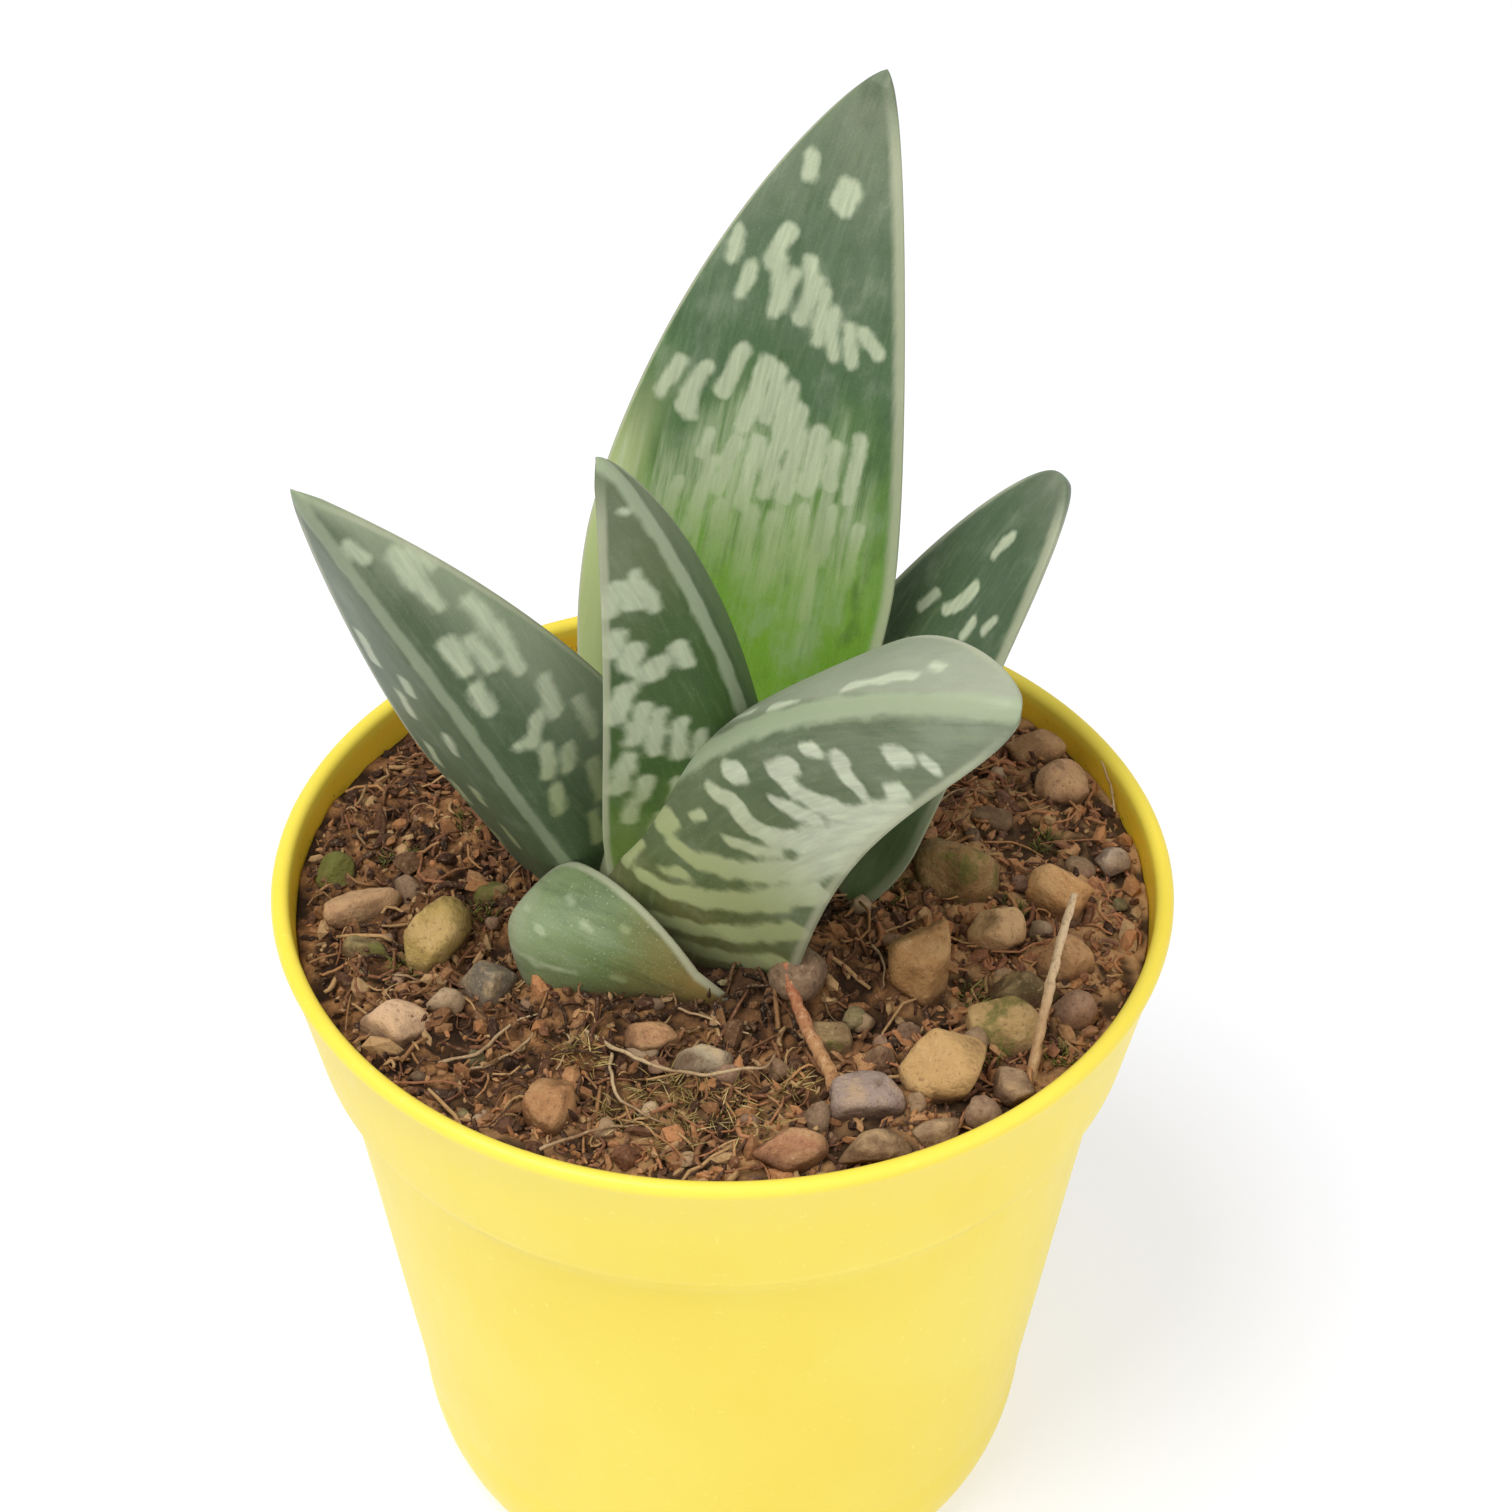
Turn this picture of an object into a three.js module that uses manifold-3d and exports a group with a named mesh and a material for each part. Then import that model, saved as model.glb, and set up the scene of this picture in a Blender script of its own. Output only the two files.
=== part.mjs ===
// A young tiger aloe in a moulded plastic pot, in millimetres, +Z up.
// The origin is the centre of the pot's flat base, and -Y is the plant's front.
// Headings are compass-like: 0 is +X, 90 is +Y, 270 is the front.
import * as THREE from 'three';
import { mergeVertices } from 'three/addons/utils/BufferGeometryUtils.js';
import Module from 'manifold-3d';

const wasm = await Module();
wasm.setup();

// Pot
const potHeight = 74;
const rimRadius = 42.5;
const wall = 1.2;
const floorThickness = 1.6;
const bead = 0.85;
const beadLip = 0.55;
const beadUnder = 1.1;
const collarDrop = 15.1;
const collarTaper = 2.5;
const stepHeight = 2.8;
const stepIn = 1.9;
const bodyTaper = 5.9;
const footRise = 12;
const footInset = 4.9;

// Planting
const soilDrop = 3;
const soilCrown = 0.7;
const gap = 0.3;
const planRadius = 40;
const stemRadius = 5;
const stemLength = 22;
const leafFoot = 4.5;
const marginRadius = 0.45;
const tipCrowding = 1.6;
const stationSpacing = 4.8;

const turnSegments = 40;
const stemSegments = 14;
const soilLevel = potHeight - soilDrop;

const rad = THREE.MathUtils.degToRad;
const mix = THREE.MathUtils.lerp;

// ---------------------------------------------------------------- solids

const toSolid = (geometry) => {
  const bare = geometry.clone();
  bare.deleteAttribute('normal');
  bare.deleteAttribute('uv');
  const merged = mergeVertices(bare, 1e-4);
  return new wasm.Manifold(new wasm.Mesh({
    numProp: 3,
    vertProperties: new Float32Array(merged.attributes.position.array),
    triVerts: new Uint32Array(merged.index.array),
  }));
};

const toGeometry = (solid) => {
  const mesh = solid.getMesh();
  const geometry = new THREE.BufferGeometry();
  geometry.setAttribute('position', new THREE.BufferAttribute(mesh.vertProperties, 3));
  geometry.setIndex(new THREE.BufferAttribute(mesh.triVerts, 1));
  geometry.computeVertexNormals();
  return geometry;
};

const boxesMeet = (a, b) => {
  const p = a.boundingBox();
  const q = b.boundingBox();
  return [0, 1, 2].every((k) => p.min[k] < q.max[k] && q.min[k] < p.max[k]);
};

// Cut a solid back from its neighbours, and keep its largest body.
const clearOf = (solid, neighbours) => {
  let rest = solid;
  for (const other of neighbours) {
    if (boxesMeet(rest, other)) {
      rest = rest.subtract(other);
    }
  }
  const bodies = rest.decompose();
  return bodies.reduce((a, b) => (b.volume() > a.volume() ? b : a));
};

const lathe = (points, segments = turnSegments) => {
  const profile = points.map(([r, z]) => new THREE.Vector2(r, z));
  return new THREE.LatheGeometry(profile, segments).rotateX(Math.PI / 2);
};

const arc = (cr, cz, ar, az, from, to, steps) => {
  const points = [];
  for (let i = 0; i <= steps; i += 1) {
    const t = rad(mix(from, to, i / steps));
    points.push([cr + ar * Math.cos(t), cz + az * Math.sin(t)]);
  }
  return points;
};

// ---------------------------------------------------------------- pot

const beadLevel = potHeight - bead;
const beadCentre = rimRadius - bead;
const collarTop = rimRadius - beadLip;
const collarFoot = collarTop - collarTaper;
const collarLevel = potHeight - collarDrop;
const bodyTop = collarFoot - stepIn;
const bodyLevel = collarLevel - stepHeight;
const bodyFoot = bodyTop - bodyTaper;
const baseRadius = bodyFoot - footInset;

const footArc = (inset, rise) => (
  arc(baseRadius, footRise, footInset - inset, footRise - rise, -90, 0, 4)
);

const potProfile = () => [
  [0, 0],
  ...footArc(0, 0),
  [bodyTop, bodyLevel],
  [collarFoot, collarLevel],
  [collarTop, beadLevel - beadUnder],
  ...arc(beadCentre, beadLevel, bead, bead, -20, 180, 6),
  [collarTop - wall, beadLevel - beadUnder],
  [collarFoot - wall, collarLevel],
  [bodyTop - wall, bodyLevel],
  ...footArc(wall, floorThickness).reverse(),
  [0, floorThickness],
  [0, 0],
];

// The soil's space: the pot's inner wall, drawn in by a clearance.
const innerProfile = (top, clear) => {
  const collarSlope = collarTaper / (beadLevel - beadUnder - collarLevel);
  const topRadius = collarTop - wall - (beadLevel - beadUnder - top) * collarSlope;
  return [
    [0, floorThickness + clear],
    ...footArc(wall + clear, floorThickness + clear),
    [bodyTop - wall - clear, bodyLevel],
    [collarFoot - wall - clear, collarLevel],
    [topRadius - clear, top],
  ];
};

const soilRadius = innerProfile(soilLevel, gap).at(-1)[0];

// ---------------------------------------------------------------- leaves

// Each leaf is a blade carried along a bending midrib. root is [x, y, height above
// the soil]; lean is measured from upright and heading is where the blade leans to,
// and curl and sweep are what they gain from root to tip, with bow and sway as their
// bulge halfway. turn rolls the blade about its midrib, and twist is what it gains.
// fold is the keel's depth over the half width, at root and tip.
const leaves = {
  front_right_leaf: {
    root: [-2, -1, -1], heading: 339, sweep: -28, lean: 37.5, curl: 23, bow: -13, sway: -22,
    turn: 126, twist: -5, length: 62, width: 27, footWidth: 0.89, widest: 0.21, shoulder: 5,
    point: 0.5, taper: 0.54, fold: [1.09, 0.48], foldBulge: 0.3, thickness: 4.8,
  },
  stub_leaf: {
    root: [-3.5, -16, 1.8], heading: 167, sweep: -20, lean: 59.5, curl: 50, turn: -85,
    twist: -54, length: 17.7, width: 13.9, footWidth: 0.4, widest: 0.67, shoulder: 1.94,
    point: 0.76, fold: [0.3, 0.66], keelSoft: 1.4, thickness: 6.2,
  },
  tall_leaf: {
    root: [-2, 5.5, 0.3], heading: 73, sweep: -29, lean: 15, curl: 18, turn: -14, twist: -1,
    length: 76, width: 29.5, footWidth: 0.64, widest: 0.38, shoulder: 1.5, point: 0.76,
    fold: [0.5, 0.35], thickness: 4.4,
  },
  left_leaf: {
    root: [-7.4, 2.3, -3.5], heading: 208.5, sweep: 3.5, lean: 22, curl: 13.5, turn: -49.5,
    twist: 0, length: 66.8, width: 22.4, footWidth: 0.89, widest: 0.4, shoulder: 1.5,
    point: 0.89, fold: [0.67, 0.54], thickness: 4.4,
  },
  back_right_leaf: {
    root: [7.3, 2, 0], heading: 34, sweep: -13.5, lean: 30.5, curl: 10.5, turn: -5, twist: 12.5,
    length: 46, width: 22.5, footWidth: 0.7, widest: 0.22, shoulder: 1.9, point: 0.49,
    fold: [0.5, 0.4], thickness: 4.2,
  },
  centre_leaf: {
    root: [-3, 1.1, -2], heading: 256, sweep: -16, lean: 9.5, curl: 14, turn: -64, twist: -32,
    length: 63.9, width: 22.8, footWidth: 0.8, widest: 0.33, shoulder: 1.35, point: 0.81,
    fold: [0.85, 0.74], thickness: 4.2,
  },
};

// Unit vectors of the blade at a share s of its length: along the midrib, to its side,
// and out through the keel.
const bladeAxes = (leaf, s) => {
  const { bow = 0, sway = 0 } = leaf;
  const swell = Math.sin(Math.PI * s);
  const lean = rad(leaf.lean + leaf.curl * s + bow * swell);
  const heading = rad(leaf.heading + leaf.sweep * s + sway * swell);
  const turn = rad(leaf.turn + leaf.twist * s);
  const flat = new THREE.Vector3(Math.cos(heading), Math.sin(heading), 0);
  const up = new THREE.Vector3(0, 0, 1);
  const level = new THREE.Vector3(-Math.sin(heading), Math.cos(heading), 0);
  const blend = (a, p, b, q) => a.clone().multiplyScalar(p).addScaledVector(b, q);
  const under = blend(flat, Math.cos(lean), up, -Math.sin(lean));
  return {
    along: blend(flat, Math.sin(lean), up, Math.cos(lean)),
    side: blend(level, Math.cos(turn), under, Math.sin(turn)),
    out: blend(under, Math.cos(turn), level, -Math.sin(turn)),
  };
};

// Half width, keel depth and flesh at a share s of the blade's length.
const bladeSize = (leaf, s) => {
  const { taper = 0, foldBulge = 0 } = leaf;
  const rise = Math.sin((Math.PI / 2) * Math.min(s / leaf.widest, 1));
  const past = Math.max((s - leaf.widest) / (1 - leaf.widest), 0);
  const fall = Math.max(1 - past ** leaf.shoulder, 0) ** leaf.point * (1 - taper * past);
  const half = (leaf.width / 2) * mix(leaf.footWidth, 1, rise) * fall;
  const fold = mix(leaf.fold[0], leaf.fold[1], s) + foldBulge * Math.sin(Math.PI * s);
  const share = half / (leaf.width / 2);
  return {
    half,
    keel: half * fold,
    keelSoft: leaf.keelSoft ?? 0.3,
    flesh: leaf.thickness * Math.min(1, 1.6 * share) * (1 - 0.35 * s),
  };
};

// The blade's stations, closer together towards the tip. The midrib is the sum of
// short steps along the blade.
const bladeStations = (leaf, count) => {
  const stations = [];
  const place = new THREE.Vector3(leaf.root[0], leaf.root[1], soilLevel + leaf.root[2]);
  const steps = 12;
  let s = 0;
  for (let i = 0; i <= count; i += 1) {
    const next = 1 - (1 - i / count) ** tipCrowding;
    for (let k = 0; k < steps && i > 0; k += 1) {
      const middle = mix(s, next, (k + 0.5) / steps);
      place.addScaledVector(bladeAxes(leaf, middle).along, (leaf.length * (next - s)) / steps);
    }
    s = next;
    stations.push({ place: place.clone(), ...bladeAxes(leaf, s), ...bladeSize(leaf, s) });
  }
  return stations;
};

// A rounded V that is 1 on the midrib and 0 at both margins.
const vee = (u, soft) => (
  (Math.hypot(1, soft) - Math.hypot(u, soft)) / (Math.hypot(1, soft) - soft)
);

// One point of the blade's cross-section: how far across, and how far out.
const sectionPoint = (station, angle, grow) => {
  const u = Math.cos(angle);
  const outer = station.keel * vee(u, station.keelSoft);
  const inner = Math.max(station.keel - station.flesh, 0) * vee(u, 2 * station.keelSoft);
  const round = marginRadius * Math.sqrt(Math.max(1 - u ** 6, 0));
  const growDeep = 1.5 * grow * Math.min(1, 2 * Math.abs(Math.sin(angle)));
  const halfDeep = (outer - inner) / 2 + round + growDeep;
  const marginSlope = station.keel / Math.max(station.half, grow);
  const middle = (outer + inner) / 2 - grow * 1.3 * marginSlope * u ** 6;
  return [
    u * (station.half + grow * u ** 6),
    middle - Math.sign(Math.sin(angle)) * halfDeep,
  ];
};

const leafGeometry = (leaf, grow = 0) => {
  const around = 12;
  const count = Math.max(7, Math.round(leaf.length / stationSpacing));
  const stations = bladeStations(leaf, count);
  const tip = stations.pop();
  const first = stations[0];
  const foot = {
    ...first,
    place: first.place.clone().addScaledVector(first.along, -leafFoot - grow),
    half: first.half * 0.75,
    keel: first.keel * 0.75,
    flesh: first.flesh * 0.75,
  };
  const rings = [foot, ...stations];
  const points = [];
  const index = [];
  for (const ring of rings) {
    for (let k = 0; k < around; k += 1) {
      const [across, outward] = sectionPoint(ring, (2 * Math.PI * k) / around, grow);
      const p = ring.place.clone().addScaledVector(ring.side, across);
      points.push(...p.addScaledVector(ring.out, outward).toArray());
    }
  }
  points.push(...tip.place.clone().addScaledVector(tip.along, 2 * grow).toArray());
  const tipPoint = rings.length * around;
  // A strip between the outer and inner faces closes the foot.
  for (let k = 0; k < around / 2; k += 1) {
    const far = around - k;
    if (k > 0) {
      index.push(k, far, far - 1);
    }
    if (k + 1 < far - 1) {
      index.push(k, far - 1, k + 1);
    }
  }
  for (let k = 0; k < around; k += 1) {
    const next = (k + 1) % around;
    for (let r = 0; r + 1 < rings.length; r += 1) {
      const a = r * around;
      const b = a + around;
      index.push(a + k, a + next, b + next);
      index.push(a + k, b + next, b + k);
    }
    const end = (rings.length - 1) * around;
    index.push(end + k, end + next, tipPoint);
  }
  const geometry = new THREE.BufferGeometry();
  geometry.setAttribute('position', new THREE.Float32BufferAttribute(points, 3));
  geometry.setIndex(index);
  return geometry;
};

// ---------------------------------------------------------------- stones

// at is the place on a plan whose soil has planRadius, size is long, deep and high,
// proud is how far the stone stands out of the soil, and turn is about +Z.
const stones = [
  { at: [22, -0.2], size: [8, 7.6, 7.6], proud: 6.2, turn: 20 },
  { at: [17.6, -13.6], size: [5.8, 7, 8.2], proud: 6.6, turn: 10 },
  { at: [25, -8.8], size: [4.9, 4.8, 6], proud: 4.6, turn: 40 },
  { at: [31.4, -2.4], size: [6, 5.8, 6.4], proud: 4.4, turn: 0 },
  { at: [37, 3], size: [3.2, 3, 2.6], proud: 1.8, turn: 15 },
  { at: [31.2, -12], size: [4.4, 5.2, 6], proud: 4.2, turn: 70 },
  { at: [27.4, -15.4], size: [6.6, 4.4, 5], proud: 3.4, turn: 12 },
  { at: [25.2, -20.6], size: [6.8, 5, 5.2], proud: 3.6, turn: -12 },
  { at: [19.4, -26.6], size: [7, 7, 7.2], proud: 5.2, turn: -30 },
  { at: [12.4, -29], size: [6.6, 4.4, 4.2], proud: 2.8, turn: 8 },
  { at: [14, -23.6], size: [3.2, 2.8, 2.6], proud: 1.8, turn: 50 },
  { at: [25.4, -27.6], size: [4.2, 3.2, 3], proud: 2, turn: -35 },
  { at: [5.8, -35.2], size: [6.6, 4, 3.8], proud: 2.6, turn: 8 },
  { at: [13, -34.9], size: [6.2, 3.2, 3], proud: 2.2, turn: 14 },
  { at: [18.6, -32.8], size: [4.4, 2.6, 2.4], proud: 1.6, turn: 25 },
  { at: [11.5, -11.4], size: [6.4, 3.2, 3], proud: 1.8, turn: -8 },
  { at: [9.4, -21.4], size: [3.8, 4.2, 3.8], proud: 2, turn: 30 },
  { at: [30.6, 19], size: [6, 4.4, 4.4], proud: 3.4, turn: -20 },
  { at: [33.2, 13.6], size: [5.8, 5, 4.8], proud: 3.4, turn: 50 },
  { at: [-33.6, -3.9], size: [7.4, 3.2, 3.4], proud: 2.6, turn: 24 },
  { at: [-26.2, -9.2], size: [5, 8.6, 7.4], proud: 5.6, turn: -24 },
  { at: [-36.6, 1.2], size: [3.6, 3.4, 3.2], proud: 2.2, turn: 0 },
  { at: [-20.8, -15.2], size: [5, 4.8, 5.6], proud: 4, turn: 30 },
  { at: [-29, -19.6], size: [6.4, 4.4, 4], proud: 2.6, turn: -18 },
  { at: [-21.6, -1.6], size: [3.4, 2.8, 2.6], proud: 1.7, turn: 12 },
  { at: [-32.6, -9.8], size: [4.4, 2.8, 2.8], proud: 1.8, turn: -30 },
  { at: [-15, -30.2], size: [4.8, 5.4, 5.2], proud: 3.2, turn: 15 },
  { at: [-6.4, -21.4], size: [5, 3.4, 3.4], proud: 2.4, turn: -10 },
  { at: [-1.6, -24.4], size: [5.2, 4.2, 3.6], proud: 2.2, turn: 20 },
  { at: [-13, 33], size: [6.2, 4.6, 4.2], proud: 2.4, turn: 30 },
  { at: [3, 36], size: [4.2, 3.6, 3.4], proud: 2, turn: 0 },
  { at: [21, 29], size: [5.6, 4.4, 4.2], proud: 2.6, turn: -40 },
  { at: [26, 9], size: [4.2, 3.8, 3.6], proud: 2, turn: 25 },
  { at: [-20, 22], size: [4, 3.2, 3], proud: 1.8, turn: 60 },
];

// A lumpy, slightly square pebble: a ball with its axes swollen and two slow ripples.
const stoneGeometry = (stone, number, grow = 0) => {
  const ball = new THREE.IcosahedronGeometry(1, 1);
  ball.deleteAttribute('normal');
  ball.deleteAttribute('uv');
  const form = mergeVertices(ball, 1e-4);
  const place = form.attributes.position;
  const p = new THREE.Vector3();
  const square = (v) => Math.sign(v) * Math.abs(v) ** 0.86;
  for (let i = 0; i < place.count; i += 1) {
    p.fromBufferAttribute(place, i);
    const ripple = Math.sin(2.6 * p.x + 1.9 * number) * Math.cos(2.2 * p.y - 2.3 * number);
    const lump = 1 - 0.07 + 0.07 * ripple * Math.cos(1.8 * p.z + number);
    p.set(square(p.x), square(p.y), square(p.z)).multiplyScalar(lump);
    place.setXYZ(
      i,
      p.x * (stone.size[0] / 2 + grow),
      p.y * (stone.size[1] / 2 + grow),
      p.z * (stone.size[2] / 2 + grow),
    );
  }
  const spread = soilRadius / planRadius;
  form.rotateZ(rad(stone.turn));
  const height = soilLevel + stone.proud - stone.size[2] / 2;
  return form.translate(stone.at[0] * spread, stone.at[1] * spread, height);
};

// ---------------------------------------------------------------- dry stalks

// Points are on the same plan as the stones, with heights above the soil.
const stalks = {
  stalk_front: {
    radius: 0.6,
    path: [[10.9, -30.5, -1.8], [9.6, -27, 1.2], [7.4, -22, 3], [5.9, -17.6, 4.8], [6.1, -14.8, 7.4]],
  },
  stalk_right: {
    radius: 0.45,
    path: [[26.7, -27.6, -2], [27.6, -24.6, 2], [28.8, -20.4, 5.4], [30, -16.6, 8.2], [31.4, -13, 10.6]],
  },
};

const stalkGeometry = (stalk, grow = 0) => {
  const spread = soilRadius / planRadius;
  const route = stalk.path.map(([x, y, z]) => (
    new THREE.Vector3(x * spread, y * spread, soilLevel + z)
  ));
  const outward = (end, inner) => end.clone().sub(inner).setLength(1).multiplyScalar(grow);
  route[0].add(outward(route[0], route[1]));
  route.at(-1).add(outward(route.at(-1), route.at(-2)));
  const ring = new THREE.Shape();
  ring.absarc(0, 0, stalk.radius + grow, 0, 2 * Math.PI);
  return new THREE.ExtrudeGeometry(ring, {
    steps: 12,
    curveSegments: 3,
    bevelEnabled: false,
    extrudePath: new THREE.CatmullRomCurve3(route),
  });
};

// ---------------------------------------------------------------- stem and soil

const stemGeometry = (grow = 0) => {
  const top = soilLevel + 0.5 + grow;
  const foot = soilLevel - stemLength - grow;
  const r = stemRadius + grow;
  return lathe([
    [0, foot], [r * 0.4, foot], [r * 0.6, foot + 3], [r * 0.9, top - 9], [r, top - 3],
    [r * 0.75, top - 0.6], [0, top],
  ], stemSegments).translate(-0.5, 1, 0);
};

const soilGeometry = () => lathe([
  ...innerProfile(soilLevel, gap),
  [soilRadius * 0.5, soilLevel + soilCrown * 0.75],
  [0, soilLevel + soilCrown],
]);

// ---------------------------------------------------------------- assembly

const plant = new THREE.Group();
const skins = {
  pot: { color: 0xf6e25e, roughness: 0.42 },
  soil: { color: 0x6b4a34, roughness: 0.95 },
  stem: { color: 0x9a9160, roughness: 0.8 },
  leaf: { color: 0x6f9164, roughness: 0.5 },
  stone: { color: 0x967a5c, roughness: 0.85 },
  stalk: { color: 0xb08a63, roughness: 0.85 },
};

const addPiece = (name, solid, skin) => {
  const material = new THREE.MeshStandardMaterial({ ...skins[skin], metalness: 0 });
  const mesh = new THREE.Mesh(toGeometry(solid), material);
  mesh.name = name;
  plant.add(mesh);
};

const pot = toSolid(lathe(potProfile()));
addPiece('pot', pot, 'pot');

// Stones and stalks keep inside the pot's wall and, above it, inside its rim.
const roomTop = potHeight + 40;
const roomLevel = potHeight - 3 * bead;
const rimRoom = beadCentre - bead - 1.3 * gap;
const roomBelow = toSolid(lathe([
  ...innerProfile(beadLevel - beadUnder, gap),
  [0, beadLevel - beadUnder],
]));
const roomAbove = toSolid(lathe([
  [0, roomLevel],
  [rimRoom, roomLevel],
  [rimRoom, roomTop],
  [0, roomTop],
]));
const plantingRoom = roomBelow.add(roomAbove);

// What is laid first keeps its shape, and what comes later is cut back from it.
const taken = [];
addPiece('stem', toSolid(stemGeometry()), 'stem');
taken.push(toSolid(stemGeometry(gap)));

for (const [name, leaf] of Object.entries(leaves)) {
  addPiece(name, clearOf(toSolid(leafGeometry(leaf)), taken), 'leaf');
  taken.push(toSolid(leafGeometry(leaf, gap)));
}

stones.forEach((stone, i) => {
  const name = `pebble_${String(i + 1).padStart(2, '0')}`;
  const whole = toSolid(stoneGeometry(stone, i)).intersect(plantingRoom);
  addPiece(name, clearOf(whole, taken), 'stone');
  taken.push(toSolid(stoneGeometry(stone, i, gap)));
});

for (const [name, stalk] of Object.entries(stalks)) {
  addPiece(name, clearOf(toSolid(stalkGeometry(stalk)).intersect(plantingRoom), taken), 'stalk');
  taken.push(toSolid(stalkGeometry(stalk, gap)));
}

addPiece('soil', clearOf(toSolid(soilGeometry()), taken), 'soil');

export default plant;
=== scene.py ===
import math
import bpy
import numpy as np
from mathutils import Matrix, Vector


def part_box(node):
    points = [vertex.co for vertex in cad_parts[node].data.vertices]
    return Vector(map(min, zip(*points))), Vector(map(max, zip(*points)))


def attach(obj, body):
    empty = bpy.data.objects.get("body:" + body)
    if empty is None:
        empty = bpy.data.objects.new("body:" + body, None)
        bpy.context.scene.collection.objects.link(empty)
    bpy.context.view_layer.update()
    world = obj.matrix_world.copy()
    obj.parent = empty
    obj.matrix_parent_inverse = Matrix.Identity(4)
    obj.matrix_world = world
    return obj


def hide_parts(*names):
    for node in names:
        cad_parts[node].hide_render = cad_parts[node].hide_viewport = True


# A young banded aloe in a small yellow nursery pot. Lengths are in millimetres
# here and become metres as they enter a mesh.

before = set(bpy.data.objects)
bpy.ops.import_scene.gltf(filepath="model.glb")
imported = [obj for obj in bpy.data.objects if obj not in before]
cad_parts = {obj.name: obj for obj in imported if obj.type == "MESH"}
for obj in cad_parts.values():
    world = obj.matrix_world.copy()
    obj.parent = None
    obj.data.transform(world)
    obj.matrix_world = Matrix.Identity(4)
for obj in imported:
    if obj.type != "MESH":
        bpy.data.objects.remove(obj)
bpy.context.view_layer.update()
mm = 0.001


cameraLook = {
    "target": (0, 0, 86.9),
    "distance": 300,
    "elevation": 38.91,
    "lens": 77.7,
    "shift": 0.0222,
}


def makeCamera(look):
    # Stands back from the target along a line that rises by the elevation, and looks down it.
    slope = math.radians(look["elevation"])
    lens = bpy.data.cameras.new("camera")
    lens.lens = look["lens"]
    lens.sensor_width = 36
    lens.shift_x = look["shift"]
    lens.clip_start = 0.01
    camera = bpy.data.objects.new("camera", lens)
    bpy.context.collection.objects.link(camera)
    away = np.array([0, -math.cos(slope), math.sin(slope)])
    camera.location = (np.array(look["target"]) + away * look["distance"]) * mm
    camera.rotation_euler = (math.pi / 2 - slope, 0, 0)
    bpy.context.scene.camera = camera


makeCamera(cameraLook)
print("camera placed")


def latticeValue(cell, seed):
    # A fixed value from -1 to 1 for each whole-numbered lattice point.
    x, y, z = (np.atleast_1d(cell[..., k]).astype(np.int64).astype(np.uint64) for k in range(3))
    mixed = (x * np.uint64(73856093)) ^ (y * np.uint64(19349663)) ^ (z * np.uint64(83492791))
    mixed = (mixed ^ np.uint64(seed * 2654435761 + 12345)) * np.uint64(6364136223846793005)
    mixed = (mixed ^ (mixed >> np.uint64(31))) * np.uint64(2862933555777941757)
    return ((mixed >> np.uint64(40)).astype(float) / float(1 << 23) - 1).reshape(cell.shape[:-1])


def softNoise(points, cell, seed):
    # Smooth noise: the eight lattice values round a point, blended by a smooth step.
    place = np.asarray(points, float) / cell
    low = np.floor(place)
    part = place - low
    part = part * part * (3 - 2 * part)
    total = 0
    for dx in (0, 1):
        for dy in (0, 1):
            for dz in (0, 1):
                corner = np.array([dx, dy, dz])
                share = np.prod(np.where(corner == 1, part, 1 - part), axis=-1)
                total = total + share * latticeValue(low + corner, seed)
    return total


def layeredNoise(points, cell, seed, layers=3):
    # Soft noise added up, each layer half the size and half the strength.
    return sum(softNoise(points, cell / 2 ** k, seed + k) / 2 ** k for k in range(layers))


def smoothStep(low, high, value):
    # 0 up to low, 1 from high on, and a smooth S between them.
    x = np.clip((value - low) / (high - low), 0, 1)
    return x * x * (3 - 2 * x)


def flatPoints(x, y):
    # Plan places as points at level 0.
    return np.stack([x, y, np.zeros_like(x)], axis=-1)


def fillMesh(name, points, quads=None, triangles=None, smooth=True):
    # A mesh object from points in millimetres and the point numbers of its quads and triangles.
    quads = np.zeros((0, 4), int) if quads is None else np.asarray(quads)
    triangles = np.zeros((0, 3), int) if triangles is None else np.asarray(triangles)
    mesh = bpy.data.meshes.new(name)
    mesh.vertices.add(len(points))
    mesh.vertices.foreach_set("co", (np.asarray(points, float) * mm).ravel())
    corners = np.concatenate([quads.ravel(), triangles.ravel()]).astype(np.int32)
    starts = np.concatenate([np.arange(len(quads)) * 4, quads.size + np.arange(len(triangles)) * 3])
    mesh.loops.add(len(corners))
    mesh.loops.foreach_set("vertex_index", corners)
    mesh.polygons.add(len(starts))
    mesh.polygons.foreach_set("loop_start", starts.astype(np.int32))
    mesh.polygons.foreach_set("use_smooth", np.full(len(starts), smooth))
    mesh.update(calc_edges=True)
    mesh.validate()
    piece = bpy.data.objects.new(name, mesh)
    bpy.context.collection.objects.link(piece)
    return piece


def keepValues(piece, **values):
    # Stores one number, or one vector, for each vertex, for the material to read.
    for name, array in values.items():
        array = np.asarray(array, float)
        kind, key = ("FLOAT", "value") if array.ndim == 1 else ("FLOAT_VECTOR", "vector")
        layer = piece.data.attributes.new(name, kind, "POINT")
        layer.data.foreach_set(key, array.ravel())


def tubeQuads(rows, columns):
    # Quads over a grid of rows whose columns run right round.
    row, column = np.meshgrid(np.arange(rows - 1), np.arange(columns), indexing="ij")
    after = (column + 1) % columns
    return np.stack([row * columns + column, row * columns + after,
                     (row + 1) * columns + after, (row + 1) * columns + column], -1).reshape(-1, 4)


def fan(ring, pole, turned=False):
    # Triangles from a ring of vertex numbers to one pole.
    after = np.roll(ring, -1)
    ends = np.full(len(ring), pole)
    return np.stack([after, ring, ends] if turned else [ring, after, ends], -1)


def poleCaps(rows, columns):
    # Triangles from a grid's first and last rows to the two poles that follow its points.
    first = np.arange(columns)
    return np.vstack([fan(first, rows * columns, turned=True),
                      fan(first + (rows - 1) * columns, rows * columns + 1)])


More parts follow.
